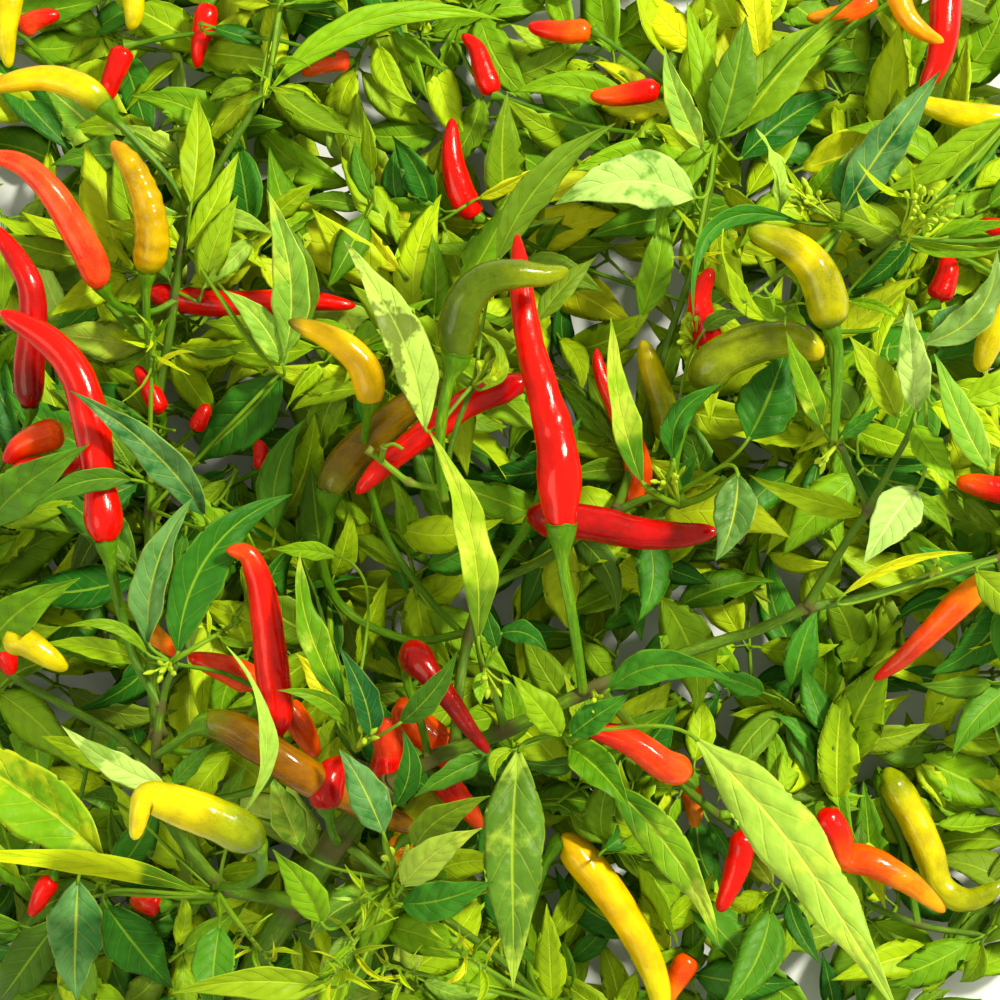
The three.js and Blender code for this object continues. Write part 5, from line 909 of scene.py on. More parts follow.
# ---------------------------------------------------------------- pods
POD_SHAPES = {
    "taper": [[0, 0.74], [0.04, 0.86], [0.09, 0.95], [0.16, 1.0], [0.30, 0.97], [0.42, 0.91], [0.56, 0.82], [0.70, 0.71], [0.82, 0.575], [0.90, 0.455], [0.95, 0.35], [0.985, 0.21], [1.0, 0.03]],
    "long": [[0, 0.74], [0.035, 0.80], [0.07, 0.88], [0.12, 0.95], [0.19, 1.0], [0.28, 0.965], [0.38, 0.90], [0.50, 0.83], [0.60, 0.765], [0.72, 0.67], [0.81, 0.575], [0.90, 0.43], [0.96, 0.31], [0.99, 0.17], [1.0, 0.02]],
    "blunt": [[0, 0.72], [0.04, 0.86], [0.10, 0.97], [0.18, 1.0], [0.45, 0.95], [0.62, 0.88], [0.75, 0.80], [0.86, 0.70], [0.93, 0.56], [0.975, 0.38], [1.0, 0.04]],
    "beak": [[0, 0.72], [0.04, 0.86], [0.10, 0.97], [0.18, 1.0], [0.42, 0.99], [0.58, 0.94], [0.72, 0.84], [0.84, 0.70], [0.91, 0.60], [0.955, 0.50], [0.985, 0.32], [1.0, 0.04]],
    "drop": [[0, 0.66], [0.03, 0.85], [0.08, 0.97], [0.14, 1.0], [0.20, 0.93], [0.27, 0.74], [0.36, 0.64], [0.50, 0.61], [0.64, 0.54], [0.78, 0.45], [0.88, 0.37], [0.95, 0.30], [0.985, 0.20], [1.0, 0.03]],
    "hook": [[0, 0.60], [0.03, 0.78], [0.07, 0.91], [0.14, 1.0], [0.30, 1.0], [0.48, 0.95], [0.62, 0.86], [0.70, 0.74], [0.77, 0.60], [0.83, 0.49], [0.90, 0.41], [0.95, 0.34], [0.985, 0.24], [1.0, 0.04]],
    "centre": [[0, 0.62], [0.03, 0.72], [0.06, 0.83], [0.10, 0.93], [0.15, 0.98], [0.20, 0.97], [0.245, 0.90], [0.29, 0.885], [0.35, 0.875], [0.42, 0.80], [0.50, 0.715], [0.60, 0.655], [0.70, 0.625], [0.79, 0.57], [0.86, 0.49], [0.92, 0.38], [0.96, 0.28], [0.99, 0.16], [1.0, 0.02]],
    "bulb": [[0, 0.46], [0.015, 0.66], [0.035, 0.86], [0.065, 0.98], [0.095, 1.0], [0.13, 0.95], [0.165, 0.84], [0.20, 0.79], [0.25, 0.82], [0.32, 0.89], [0.42, 0.93], [0.55, 0.90], [0.68, 0.84], [0.80, 0.74], [0.90, 0.58], [0.96, 0.42], [0.99, 0.22], [1.0, 0.04]],
    "round": [[0, 0.50], [0.02, 0.68], [0.05, 0.86], [0.09, 0.96], [0.15, 1.0], [0.30, 0.98], [0.45, 0.93], [0.60, 0.86], [0.73, 0.77], [0.84, 0.655], [0.92, 0.52], [0.965, 0.37], [0.99, 0.21], [1.0, 0.04]],
    "club": [[0, 0.66], [0.03, 0.85], [0.08, 0.97], [0.14, 1.0], [0.21, 0.96], [0.30, 0.84], [0.42, 0.74], [0.56, 0.64], [0.72, 0.50], [0.86, 0.345], [0.94, 0.23], [0.985, 0.13], [1.0, 0.02]],
}
# Each pod's form, how wide its cap is beside it, how deep the cap's cup is in pod radii, and how uneven its skin is.
FORMS = {
    "fruit_centre_red": ("centre", 0.72, 1.8, 2.4), "fruit_crossing_red": ("round", 0.36, 1.0, 1.3), "fruit_top_green": ("taper", 0.80, 1.6, 0.9),
    "fruit_right_green": ("beak", 0.56, 1.2, 1.3), "fruit_right_yellow": ("round", 0.50, 1.1, 0.9), "fruit_olive": ("blunt", 0.80, 1.6, 1.0),
    "fruit_slim_red": ("blunt", 0.60, 1.2, 2.0), "fruit_left_amber": ("taper", 0.66, 1.5, 1.1), "fruit_small_red": ("drop", 0.50, 1.0, 0.8),
    "fruit_inner_red": ("taper", 0.60, 1.0, 1.6), "fruit_low_red": ("taper", 0.66, 1.0, 1.0), "fruit_left_brown": ("blunt", 0.76, 1.3, 1.3),
    "fruit_left_upright": ("round", 0.56, 1.3, 1.7), "fruit_left_flat": ("taper", 0.6, 1.2, 1.2), "fruit_edge_red": ("bulb", 0.60, 1.4, 1.0),
    "fruit_edge_deep_red": ("round", 0.60, 1.4, 1.0), "fruit_edge_light_red": ("round", 0.60, 1.3, 1.0), "fruit_corner_yellow": ("taper", 0.78, 2.0, 1.0),
    "fruit_left_yellow": ("round", 0.56, 1.3, 2.0), "fruit_front_yellow": ("hook", 0.58, 1.4, 1.6), "fruit_behind_red": ("round", 0.60, 1.4, 1.0),
    "fruit_bottom_yellow": ("round", 0.60, 1.4, 1.2), "fruit_right_orange": ("long", 0.70, 1.3, 1.2), "fruit_low_right_yellow": ("round", 0.60, 1.4, 1.5),
}

# How stout a pod is beside its solid, and the rings across it: how deep and how many.
GIRTH = {"fruit_top_green": 0.88, "fruit_left_upright": 1.06, "fruit_left_yellow": 1.12, "fruit_centre_red": 0.97, "fruit_front_yellow": 1.04}
RINGED = {"fruit_left_yellow": (0.034, 10.0), "fruit_right_yellow": (0.010, 7.0), "fruit_front_yellow": (0.018, 6.0), "fruit_low_right_yellow": (0.020, 7.0)}


def smooth_table(table, x):
    fine = np.linspace(0, 1, 401)
    y = np.interp(fine, table[:, 0], table[:, 1])
    pad = np.concatenate([np.full(9, y[0]), y, np.full(9, y[-1])])
    y2 = np.convolve(pad, np.ones(19) / 19, "valid")
    blend = np.clip(np.minimum(fine, 1 - fine) / 0.03, 0, 1)
    return np.interp(x, fine, y * (1 - blend) + y2 * blend)


def pod_rings(line, radius, rings, sides, seed, form="taper", uneven=1.0, ringed=(0.0, 1.0)):
    s = 1 - (1 - np.linspace(0, 1, rings)) ** 1.12
    s = s - 0.035 * np.sin(2 * np.pi * s)
    s[-1] = 1
    points = at_shares(line, s)
    r = radius * smooth_table(np.array(POD_SHAPES[form]), s)
    a = 2 * np.pi * (np.arange(sides) + 0.5) / sides
    rng = np.random.default_rng(seed)
    lobes = 0.024 * np.cos(3 * a[None, :] + rng.uniform(0, 6) + 1.5 * s[:, None]) * (1 - 0.5 * s[:, None]) + 0.012 * np.cos(5 * a[None, :] + rng.uniform(0, 6))
    around = points[:, None, :] + r[:, None, None] * np.stack([np.cos(a), np.sin(a), 0 * a], -1)[None]
    bumps = 0.022 * uneven * ripple(around, radius * 1.1, seed + 1) + 0.010 * uneven * ripple(around, radius * 0.4, seed + 2)
    waist = 0.035 * uneven * ripple(points, radius * 1.8, seed + 3)[:, None]
    across = ringed[0] * np.sin(2 * np.pi * ringed[1] * s)[:, None] * (0.6 + 0.4 * np.cos(a[None, :] - 0.6)) * np.clip(s * 8, 0, 1)[:, None]
    out = round_rings(points, r, sides, r[:, None] * (lobes + bumps + waist + across))
    # the shoulder turns in under the cap
    ahead = unit(points[1] - points[0])
    inner = points[0] + (out[0] - points[0]) * 0.75 - ahead * radius * 0.13
    under = points[0] + (out[0] - points[0]) * 0.40 - ahead * radius * 0.18
    return np.concatenate([under[None], inner[None], out]), np.concatenate([[0, 0], s])


def cap_rings(stalk, pod, radius, width, sides, seed, size=0.75, depth=1.5, base=0.74):
    """Stalk and cap: a ribbed stalk that swells into a cup over the pod's shoulder, with a low toothed rim."""
    L = lengths(stalk)[-1]
    n = max(18, int(L / 0.7))
    s = np.linspace(0, 1, n)
    s = s + 0.5 * np.sin(np.pi * s) * s * 0.25
    points = at_shares(stalk, s)
    left = (1 - s) * L
    reach = min(depth * radius, 0.7 * L)
    flare = np.clip(1 - left / reach, 0, 1)
    mouth = radius * size
    stem = width * (1 + 0.35 * s) * (1 + 0.25 * np.exp(-s * L / 1.3))
    cup = soft_step(flare**1.15, 0, 1)
    r = stem * (1 - cup) + mouth * 0.95 * cup
    a = 2 * np.pi * (np.arange(sides) + 0.5) / sides
    rib = 0.07 * np.cos(5 * a + seed)[None, :] * (1 - 0.75 * flare[:, None] ** 2) + 0.02 * np.cos(10 * a + 2 * seed)[None, :]
    body = round_rings(points, r, sides, r[:, None] * rib)
    # the rim hugs the pod's shoulder
    ahead, up, side = framed(points)
    d, u, w = ahead[-1], up[-1], side[-1]
    ring = np.cos(a)[:, None] * w + np.sin(a)[:, None] * u
    tooth = np.clip(np.cos(5 * a + seed), 0, 1) ** 3 * 0.10 * radius + 0.02 * radius * np.cos(11 * a + seed)
    foot = points[-1]
    lift = -0.10 * radius if size < 0.7 else 0.0
    extra = []
    for go, wide in ((0.03, 0.985), (0.07, 1.02), (0.10, 1.035)):
        extra.append(foot + d * (go * radius + lift * (go / 0.10) + tooth[:, None] * go / 0.10) + ring * mouth * wide)
    extra.append(foot + d * (0.105 * radius + lift + tooth[:, None]) + ring * mouth * 1.0)
    extra.append(foot + d * (0.03 * radius + lift) + ring * mouth * 0.80)
    rings = np.concatenate([body, np.array(extra)])
    return rings, np.concatenate([s * L, L + np.array([0.3, 0.6, 0.8, 0.9, 0.9])]) * 0.9, flare


def make_fruit(row, order):
    name, ripe, limb, radius, stalk, pod = row
    form, size, depth, uneven = FORMS[name]
    whole = curve_through([place(p) for p in stalk + pod])
    cut = len(stalk) * 24
    line, foot = whole[cut:], whole[: cut + 1]
    stout = radius * GIRTH.get(name, 1.0)
    rings, s = pod_rings(line, stout, 84, 34, 40 + order, form, uneven, RINGED.get(name, (0.0, 1.0)))
    heap = Heap()
    heap.sweep(rings, s, 0)
    stops = [(p, RIPE[k]) for p, k in SHADES[name]]
    heap.made("pod_" + name, [pod_material("skin_" + name, stops)], name, "fruit_" + ripe)
    rings, v, flare = cap_rings(foot, line, stout, 0.205 * radius, 26, order * 1.7, size, depth)
    cap = Heap()
    tone = np.zeros((len(rings), 3))
    tone[:, 1] = np.concatenate([np.exp(-np.linspace(0, 1, len(flare)) * 14) * 0.8, [0.0, 0.0, 0.0, 0.2, 0.3]])
    tone[:, 2] = np.concatenate([0 * flare, [0.3, 0.8, 1.0, 1.0, 0.6]])
    cap.sweep(rings, v, 0, tone=tone)
    cap.made("cap_" + name, [STALK], None, "fruit_" + ripe)


for order, row in enumerate(FRUITS):
    make_fruit(row, order)

# ---------------------------------------------------------------- leaves
BLADE_SHAPE = np.array([[0, 0.05], [0.03, 0.14], [0.08, 0.38], [0.14, 0.62], [0.22, 0.84], [0.31, 0.97], [0.38, 1.0], [0.48, 0.95], [0.58, 0.82], [0.68, 0.645], [0.78, 0.44], [0.87, 0.25], [0.94, 0.105], [1.0, 0.008]])


COVER = []   # where blades lie, seen from above


def add_leaf(leaves, twigs, root, foot, tip, width, roll, twist, arch, bow, fold, tint, seed, grid=(42, 16), curly=1.0):
    """A blade with its midrib, side veins, swells and folds, and the stalk that carries it. Points are in mm, width too."""
    rng = np.random.default_rng(seed)
    axis = tip - foot
    length = float(np.linalg.norm(axis))
    axis = axis / length
    up = unit(np.array([0, 0, 1.0]) - axis * axis[2])
    right = np.cross(axis, up)
    half = width / 2
    nt, ns = grid
    t = np.linspace(0, 1, nt + 1)
    t = t + 0.045 * np.sin(2 * np.pi * t) * -1
    c = foot + axis * length * t[:, None] + (up * arch + right * bow) * length * (4 * t * (1 - t))[:, None]
    # the tip hangs, and may turn aside
    hang = rng.uniform(-0.01, 0.05) * length * np.clip((t - 0.55) / 0.45, 0, 1) ** 2
    side_turn = rng.uniform(-0.035, 0.035) * length * np.clip((t - 0.6) / 0.4, 0, 1) ** 2
    c = c - up * hang[:, None] + right * side_turn[:, None]
    ahead = np.gradient(c, axis=0)
    ahead /= np.linalg.norm(ahead, axis=1, keepdims=True)
    n0 = up - ahead * (ahead @ up)[:, None]
    n0 /= np.linalg.norm(n0, axis=1, keepdims=True)
    r0 = np.cross(ahead, n0)
    turn = np.radians(roll + twist * t)[:, None]
    n = n0 * np.cos(turn) + r0 * np.sin(turn)
    r = np.cross(ahead, n)
    w = half * smooth_table(BLADE_SHAPE, t)
    s = np.linspace(1, -1, ns + 1)
    s = np.sign(s) * np.abs(s) ** 0.92
    S, T = np.meshgrid(s, t)
    edge = np.abs(S)
    lean = np.where(S > 0, 1 + rng.uniform(-0.06, 0.06), 1 + rng.uniform(-0.06, 0.06))
    best = ns > 12
    lean = lean * (1 + (0.045 if best else 0.022) * np.sin(2 * np.pi * (T * rng.uniform(3, 5) + rng.uniform(0, 1))) * edge)
    jag = (0.03 if best else 0.012) * ripple(np.stack([T * 6.0, np.sign(S) * 2.0 + 0 * T, 0 * T], -1), 0.35, seed % 9973)
    lean = lean * (1 + jag * edge)
    W = w[:, None] * lean
    f = np.radians(fold) * (1 - 0.35 * T)
    x = S * W * np.cos(f)
    y = edge * W * np.sin(f)
    curl = rng.uniform(-0.10, 0.32) if best else rng.uniform(-0.06, 0.25)
    y = y - curl * W * edge**2.2
    wave = (rng.uniform(0.10, 0.22) if best else rng.uniform(0.06, 0.16)) * (0.6 + 0.4 * T) * curly
    waves = rng.uniform(1.4, 3.2)
    y = y + wave * half * edge**1.8 * np.sin(2 * np.pi * (T * waves + np.where(S > 0, rng.uniform(0, 1), rng.uniform(0, 1)))) * np.clip(W / half, 0, 1) ** 0.6
    phase = VEINS * (1.05 * T - LEAN * edge**BEND)
    swell = np.abs(np.sin(np.pi * phase)) ** 0.75 - 0.55
    body = np.clip(W / half, 0, 1)
    y = y + (0.10 if best else 0.05) * half * swell * body * np.clip(edge * 5, 0, 1) * (1 - 0.75 * edge**3)
    if best:
        y = y + 0.07 * half * body * ripple(np.stack([x, T * length, 0 * T], -1), 2.6, seed % 7919) * np.clip(edge * 3, 0, 1)
    groove = np.exp(-((x / (0.32 + 0.02 * half)) ** 2))
    y_top = y - 0.055 * half * groove * (1 - T) ** 0.4
    thick = 0.24 * (1 - 0.6 * edge**6)
    y_low = y - thick - (0.10 + 0.05 * half) * groove * (1 - T) ** 0.6
    top = c[:, None, :] + r[:, None, :] * x[..., None] + n[:, None, :] * y_top[..., None]
    low = c[:, None, :] + r[:, None, :] * x[..., None] + n[:, None, :] * y_low[..., None]
    COVER.append(top[::1 if ns < 12 else 2].reshape(-1, 3)[:, :2])
    rings = np.concatenate([top, low[:, 1:-1][:, ::-1]], 1)
    z = rings[..., 2]
    rings[..., 2] = np.where(z < 1.2, 0.35 + 0.85 * np.exp((np.minimum(z, 1.2) - 1.2) / 0.85), z)
    uo = (np.concatenate([s, s[1:-1][::-1], s[:1]]) + 1) / 2
    k = TINT_NAMES.index(tint)
    mats = np.concatenate([np.full(ns, k), np.full(ns, k + len(TINT_NAMES))])
    own, age = rng.uniform(0, 1), max(0.0, rng.normal(0.06, 0.22))
    leaves.sweep(rings, t, around=uo, mats=mats, tone=(own, min(age, 0.6), 0))
    # stalk
    if twigs is not None:
        stalk_line(twigs, root, foot + ahead[0] * 0.8 - n[0] * 0.1, ahead[0], 0.34 + 0.022 * half, 0.26 + 0.02 * half, sides=8 if ns > 6 else 3, step=1.3 if ns > 6 else 2.6)


def stalk_line(heap, a, b, into, r0, r1, sides=8, lift=0.0, mat=0, step=1.3):
    gap = float(np.linalg.norm(b - a))
    if gap < 0.3:
        return
    start = unit(unit(b - a) + np.array([0, 0, 0.25 + lift]))
    p = [a, a + start * gap * 0.36, b - into * gap * 0.34, b]
    u = np.linspace(0, 1, max(4 if step > 1.3 else 6, int(gap / step)))[:, None]
    line = (1 - u) ** 3 * p[0] + 3 * (1 - u) ** 2 * u * p[1] + 3 * (1 - u) * u**2 * p[2] + u**3 * p[3]
    line[:, 2] = np.maximum(line[:, 2], 0.7)
    r = (r0 + (r1 - r0) * u[:, 0]) * (1 + 0.5 * np.exp(-u[:, 0] * gap / 0.7))
    heap.sweep(round_rings(line, r, sides), u[:, 0] * gap * 0.9, mat, tone=np.stack([np.full(len(u), 0.5), np.exp(-u[:, 0] * gap / 0.8) * 0.7, u[:, 0]], 1))


def spray_leaves(key):
    """The leaves that reach out of a thicket, by the same rule as its solid."""
    rows = []
    for order, (hub, count, a0, a1, short, long, heights) in enumerate(SPRAYS):
        if hub != key:
            continue
        following = seeded(7919 * (order + 1))
        u, v, z = THICKETS[key][0]
        for i in range(count):
            angle = math.radians(a0 + (a1 - a0) * (i + 0.3 + 0.4 * following()) / count)
            reach = short + (long - short) * following()
            drop = heights[0] + (heights[1] - heights[0]) * following()
            foot = [u + math.cos(angle) * reach * 0.35, v - math.sin(angle) * reach * 0.35, z]
            tip = [u + math.cos(angle) * reach, v - math.sin(angle) * reach, drop]
            rows.append([[u, v, z], foot, tip, reach * 0.32, -12 + 24 * following(), 0, 0.07, -0.06 + 0.12 * following()])
    return rows


def seen_at(p):
    """Where a point in mm shows, in grid steps."""
    k = GRID * (EYE - (p[..., 2] - FOCUS)) / EYE
    return np.stack([500 + (p[..., 0] - SHIFT[0]) / k, 500 - (p[..., 1] - SHIFT[1]) / k], -1), k


def kept_clear():
    """Places that low leaves stay under: where each shows, how wide it is there, and how high a leaf may lie."""
    out = []

    def note(line, radius, slack):
        uv, k = seen_at(line)
        r = np.broadcast_to(radius, (len(line),))
        out.append(np.column_stack([uv, r / k, line[:, 2] - slack]))

    for row in LIMBS:
        line = even(LIMB_LINES[row[0]], max(8, int(lengths(LIMB_LINES[row[0]])[-1] / 1.6)))
        note(line, (row[2] + row[3]) / 2, 2.2)
    for row in FRUITS:
        line = even(curve_through([place(p) for p in row[4]]), 14)
        note(line, 1.3, 1.8)
        line = even(curve_through([place(p) for p in row[5]]), 40)
        note(line, row[3] * (1.05 - 0.6 * np.linspace(0, 1, 41) ** 2), row[3] + 0.9)
    for row in BACKFRUITS:
        line = even(curve_through([place(p) for p in row[4]]), 16)
        note(line, row[3] * 0.8, row[3] + 0.5)
    for row in LEAVES:
        a, b = place(row[1]), place(row[2])
        t = np.array([0.08, 0.2, 0.32, 0.44, 0.56, 0.68, 0.8, 0.92])[:, None]
        right = np.cross(unit(b - a), [0, 0, 1.0])
        line = a + (b - a) * t + (np.array([0, 0, 1.0]) * row[6] + right * row[7]) * np.linalg.norm(b - a) * 4 * t * (1 - t)
        w = row[3] / 2 * step_at(line[:, 2].mean())
        note(line, w * smooth_table(BLADE_SHAPE, t[:, 0]) * 0.9, 1.6)
    for row in BUDS:
        note(place(row[2])[None], max(row[3][0], row[3][1]) * GRID * 1.1, row[3][2] + 1.5)
    return np.vstack(out)


CLEAR = None


def is_clear(foot, tip, half):
    t = np.linspace(0.05, 1, 8)[:, None]
    line = foot + (tip - foot) * t
    line[:, 2] += 0.05 * np.linalg.norm(tip - foot) * 4 * t[:, 0] * (1 - t[:, 0])
    uv, k = seen_at(line)
    w = half * smooth_table(BLADE_SHAPE, t[:, 0]) / k
    d = np.linalg.norm(uv[:, None, :] - CLEAR[None, :, :2], axis=2)
    hit = (d < CLEAR[None, :, 2] + 0.8 * w[:, None]) & (line[:, 2:3] > CLEAR[None, :, 3])
    return not hit.any()


def thicket_top(x, y):
    """How high the thick of the plant stands over a place, and the thicket there."""
    best, name = 0.0, None
    for key, ((u, v, z), (hu, hv, hz)) in THICKETS.items():
        c, k = place([u, v, z]), step_at(z)
        q = ((x - c[0]) / (hu * k)) ** 2 + ((y - c[1]) / (hv * k)) ** 2
        top = z + hz * math.sqrt(max(0.0, 1 - q)) if q < 1 else 0.0
        if top > best:
            best, name = top, key
    return best, name


def crown_edge(x, y):
    """Below 1 inside the uneven round outline of the crown."""
    a = math.atan2(y, x)
    reach = 1 + 0.03 * math.sin(3 * a + 0.6) + 0.03 * math.sin(5 * a + 2.1) + 0.02 * math.sin(9 * a)
    return ((abs(x) / 134) ** 4.6 + (abs(y) / 130) ** 4.6) ** (1 / 4.6) / reach


def grow(heaps):
    """Space is filled from the limbs outward: each free spot draws a twig from the nearest wood, and the twig ends in a tuft of leaves."""
    rng = np.random.default_rng(2024)
    keys = list(HUBS)
    hub_at = np.array([place(HUBS[k][1]) for k in keys])
    wood = [even(line, max(4, int(lengths(line)[-1] / 4.0))) for line in LIMB_LINES.values()]
    wood = [p for line in wood for p in line]
    for key, ((u, v, z), _) in THICKETS.items():
        centre, hub = place([u, v, z]), place(HUBS[key][1])
        bend = (hub + centre) / 2 + rng.normal(0, 2.0, 3)
        bend[2] = centre[2] * 0.6 + hub[2] * 0.4
        trunk = even(curve_through([hub, bend, centre]), 14)
        heaps[key]["twigs"].sweep(round_rings(trunk, np.linspace(1.05, 0.7, 15), 10), np.linspace(0, 1, 15) * 20, 0, tone=(0.5, 0.15, 0))
        wood.extend(trunk[3:])
    spots = []
    tries = 0
    while tries < 9000:
        tries += 1
        x, y = rng.uniform(-134, 134), rng.uniform(-130, 130)
        if crown_edge(x, y) > 1:
            continue
        top, name = thicket_top(x, y)
        z = rng.uniform(5, 13) if top < 14 or rng.uniform() < 0.45 else rng.uniform(12, top + 1)
        gap = SPACING * (1.0 if top > 14 else 1.08)
        if any((x - p[0]) ** 2 + (y - p[1]) ** 2 + (1.1 * (z - p[2])) ** 2 < gap * gap for p, _ in spots):
            continue
        spots.append((np.array([x, y, z]), name))
    order = []
    left = list(range(len(spots)))
    W = np.array(wood)
    pts = np.array([p for p, _ in spots])
    cost = np.full(len(spots), 1e9)
    bear = np.zeros((len(spots), 3))

    def nearer(new):
        d = new[None] - pts[:, None]
        c = np.sqrt(d[..., 0] ** 2 + d[..., 1] ** 2 + (0.7 * d[..., 2]) ** 2)
        j = c.argmin(1)
        m = c[np.arange(len(pts)), j]
        better = m < cost
        cost[better] = m[better]
        bear[better] = new[j[better]]

    nearer(W)
    while left:
        i = min(left, key=lambda n: cost[n])
        left.remove(i)
        a, b = bear[i].copy(), pts[i]
        gap = float(np.linalg.norm(b - a))
        if gap < 1.5 or gap > 60:
            continue
        side = rng.normal(0, 0.10, 3) * gap
        mid = (a + b) / 2 + side
        mid[2] = max(min(a[2], b[2]) + 0.35 * abs(a[2] - b[2]), 1.5)
        line = even(curve_through([a, mid, b]), max(5, int(gap / 2.6)))
        line[:, 2] = np.maximum(line[:, 2], 1.0)
        nearer(line[2:])
        key = keys[int(np.argmin(np.linalg.norm(hub_at - b, axis=1)))]
        share = spots[i][1] or key
        order.append((key, share, line, gap))
    made = 0
    for key, share, line, gap in order:
        h = heaps[key]
        n = len(line)
        r = np.linspace(0.42 + 0.008 * min(gap, 40), 0.36, n)
        h["twigs"].sweep(round_rings(line, r, 5), np.linspace(0, gap, n) * 0.9, 0, tone=(0.5, 0.05, 0))
        tints = TINTS.get(share) or TINTS.get(key) or ["mid", "lime", "mid", "dark"]
        d = unit(line[-1] - line[-3])
        d = unit(np.array([d[0], d[1], 0.25 * d[2]]) + 1e-6)
        turn0 = rng.uniform(-0.5, 0.5)
        count = int(rng.integers(4, 7))
        for j in range(count):
            back = 0.0 if j == 0 else rng.uniform(0.6, 4.0) + 1.6 * j
            w = lengths(line)
            at = at_shares(line, [max(0.0, 1 - back / max(w[-1], 1e-6))])[0]
            swing = turn0 * 0.4 if j == 0 else turn0 + (j * 2.4) + rng.uniform(-0.4, 0.4)
            for attempt in range(6):
                sw = swing + attempt * 0.9
                pitch = rng.uniform(-0.30, 0.42) - 0.10 * attempt
                aim = unit(np.array([d[0] * math.cos(sw) - d[1] * math.sin(sw), d[0] * math.sin(sw) + d[1] * math.cos(sw), pitch]))
                long = rng.uniform(13.0, 28.0) * (0.90**attempt)
                foot = at + aim * rng.uniform(1.6, 3.6)
                foot[2] = max(foot[2], 1.6)
                tip = foot + aim * long
                tip[2] = max(tip[2], 0.9)
                if crown_edge(tip[0], tip[1]) > 1.02:
                    continue
                half = long * rng.uniform(0.16, 0.24)
                if is_clear(foot, tip, half):
                    add_leaf(h["leaves"], h["twigs"], at, foot, tip, half * 2, rng.normal(0, 20), rng.normal(0, 22), rng.uniform(0.02, 0.11), rng.uniform(-0.14, 0.14), rng.uniform(8, 34), tints[int(rng.integers(0, len(tints)))], int(rng.integers(1 << 30)), grid=(10, 4), curly=0.95)
                    made += 1
                    break
    # what still shows bare from above gets low leaves on stalks from the nearest twig
    W = np.vstack([np.array(wood)] + [line for _, _, line, _ in order])
    W = W[W[:, 2] < 30]
    cell = 2.4
    span = 120
    seen = np.zeros((2 * span, 2 * span), bool)

    def cover(p):
        ij = np.clip(((p / cell) + span).astype(int), 0, 2 * span - 1)
        seen[ij[:, 0], ij[:, 1]] = True

    cover(np.vstack(COVER))
    for row in LIMBS:
        cover(even(LIMB_LINES[row[0]], 60)[:, :2])
    for row in FRUITS:
        cover(even(curve_through([place(p) for p in row[5]]), 40)[:, :2])
    filled = 0
    for _ in range(6000):
        if filled >= FILL:
            break
        x, y = rng.uniform(-130, 130), rng.uniform(-126, 126)
        if crown_edge(x, y) > 0.99:
            continue
        i, j = int(x / cell + span), int(y / cell + span)
        if seen[i - 1 : i + 2, j - 1 : j + 2].sum() > 2:
            continue
        z = rng.uniform(1.6, 6.0)
        at = np.array([x, y, z])
        gaps = np.linalg.norm(W - at, axis=1)
        m = int(gaps.argmin())
        if gaps[m] > 45:
            continue
        long = rng.uniform(16.0, 27.0)
        away = unit(np.array([x - W[m][0], y - W[m][1], 0.0]) + 1e-6)
        turn = rng.normal(0, 0.5)
        aim = np.array([away[0] * math.cos(turn) - away[1] * math.sin(turn), away[0] * math.sin(turn) + away[1] * math.cos(turn), 0.0])
        foot, tip = at - aim * long * 0.42, at + aim * long * 0.58
        tip[2] = max(1.0, z - 1.2)
        if crown_edge(tip[0], tip[1]) > 1.0 or crown_edge(foot[0], foot[1]) > 1.0:
            continue
        key = keys[int(np.argmin(np.linalg.norm(hub_at - at, axis=1)))]
        _, share = thicket_top(x, y)
        tints = TINTS.get(share) or TINTS.get(key) or ["mid", "lime", "mid", "dark"]
        h = heaps[key]
        half = long * rng.uniform(0.19, 0.25)
        add_leaf(h["leaves"], h["twigs"], W[m], foot, tip, half * 2, rng.normal(0, 10), rng.normal(0, 12), rng.uniform(0.02, 0.07), rng.uniform(-0.10, 0.10), rng.uniform(6, 20), tints[int(rng.integers(0, len(tints)))], int(rng.integers(1 << 30)), grid=(9, 4), curly=0.85)
        cover(COVER[-1])
        filled += 1
        made += 1
    return made


def stub(heap, points, r0, r1, knobs=()):
    """A bare twig that has shed its flowers, with a knob at each scar."""
    line = curve_through([place(p) for p in points], 10)
    line = even(line, max(8, int(lengths(line)[-1] / 0.8)))
    r = np.linspace(r0, r1, len(line)) * (1 + 0.08 * ripple(line, 1.6, 3))
    for k in knobs:
        r = r + 0.55 * r0 * np.exp(-((np.linalg.norm(line - place(k), axis=1) / 0.8) ** 2))
    tone = np.zeros((len(line), 3))
    for k in knobs:
        tone[:, 1] = np.maximum(tone[:, 1], np.exp(-((np.linalg.norm(line - place(k), axis=1) / 1.0) ** 2)))
    heap.sweep(round_rings(line, r, 10), lengths(line) * 0.9, 0, tone=tone)


def add_buds(heap, twig_heap, hub, middle, size, count, seed):
    rng = np.random.default_rng(seed)
    root, centre = place(hub), place(middle)
    k = step_at(middle[2])
    for i in range(count):
        d = rng.normal(0, 1, 3)
        d = unit(d) * rng.uniform(0.3, 1) ** 0.5
        p = centre + d * np.array([size[0] * k, size[1] * k, size[2]])
        out = unit(unit(p - root) + unit(d) * 0.6 + np.array([0, 0, 0.5]))
        L, R = rng.uniform(1.8, 3.6), rng.uniform(0.42, 0.72)
        s = np.linspace(0, 1, 9)
        line = p + out * (s[:, None] * L)
        r = R * np.array([0.45, 0.8, 0.98, 1.0, 0.96, 0.86, 0.68, 0.40, 0.06])
        heap.sweep(round_rings(line, r, 9), s * 2, 0, tone=np.stack([s, 1 - np.minimum(1, s * 3), s], 1))
        stalk_line(heap, root + unit(p - root) * 0.6, p + out * 0.05, out, 0.30, 0.24, sides=6)


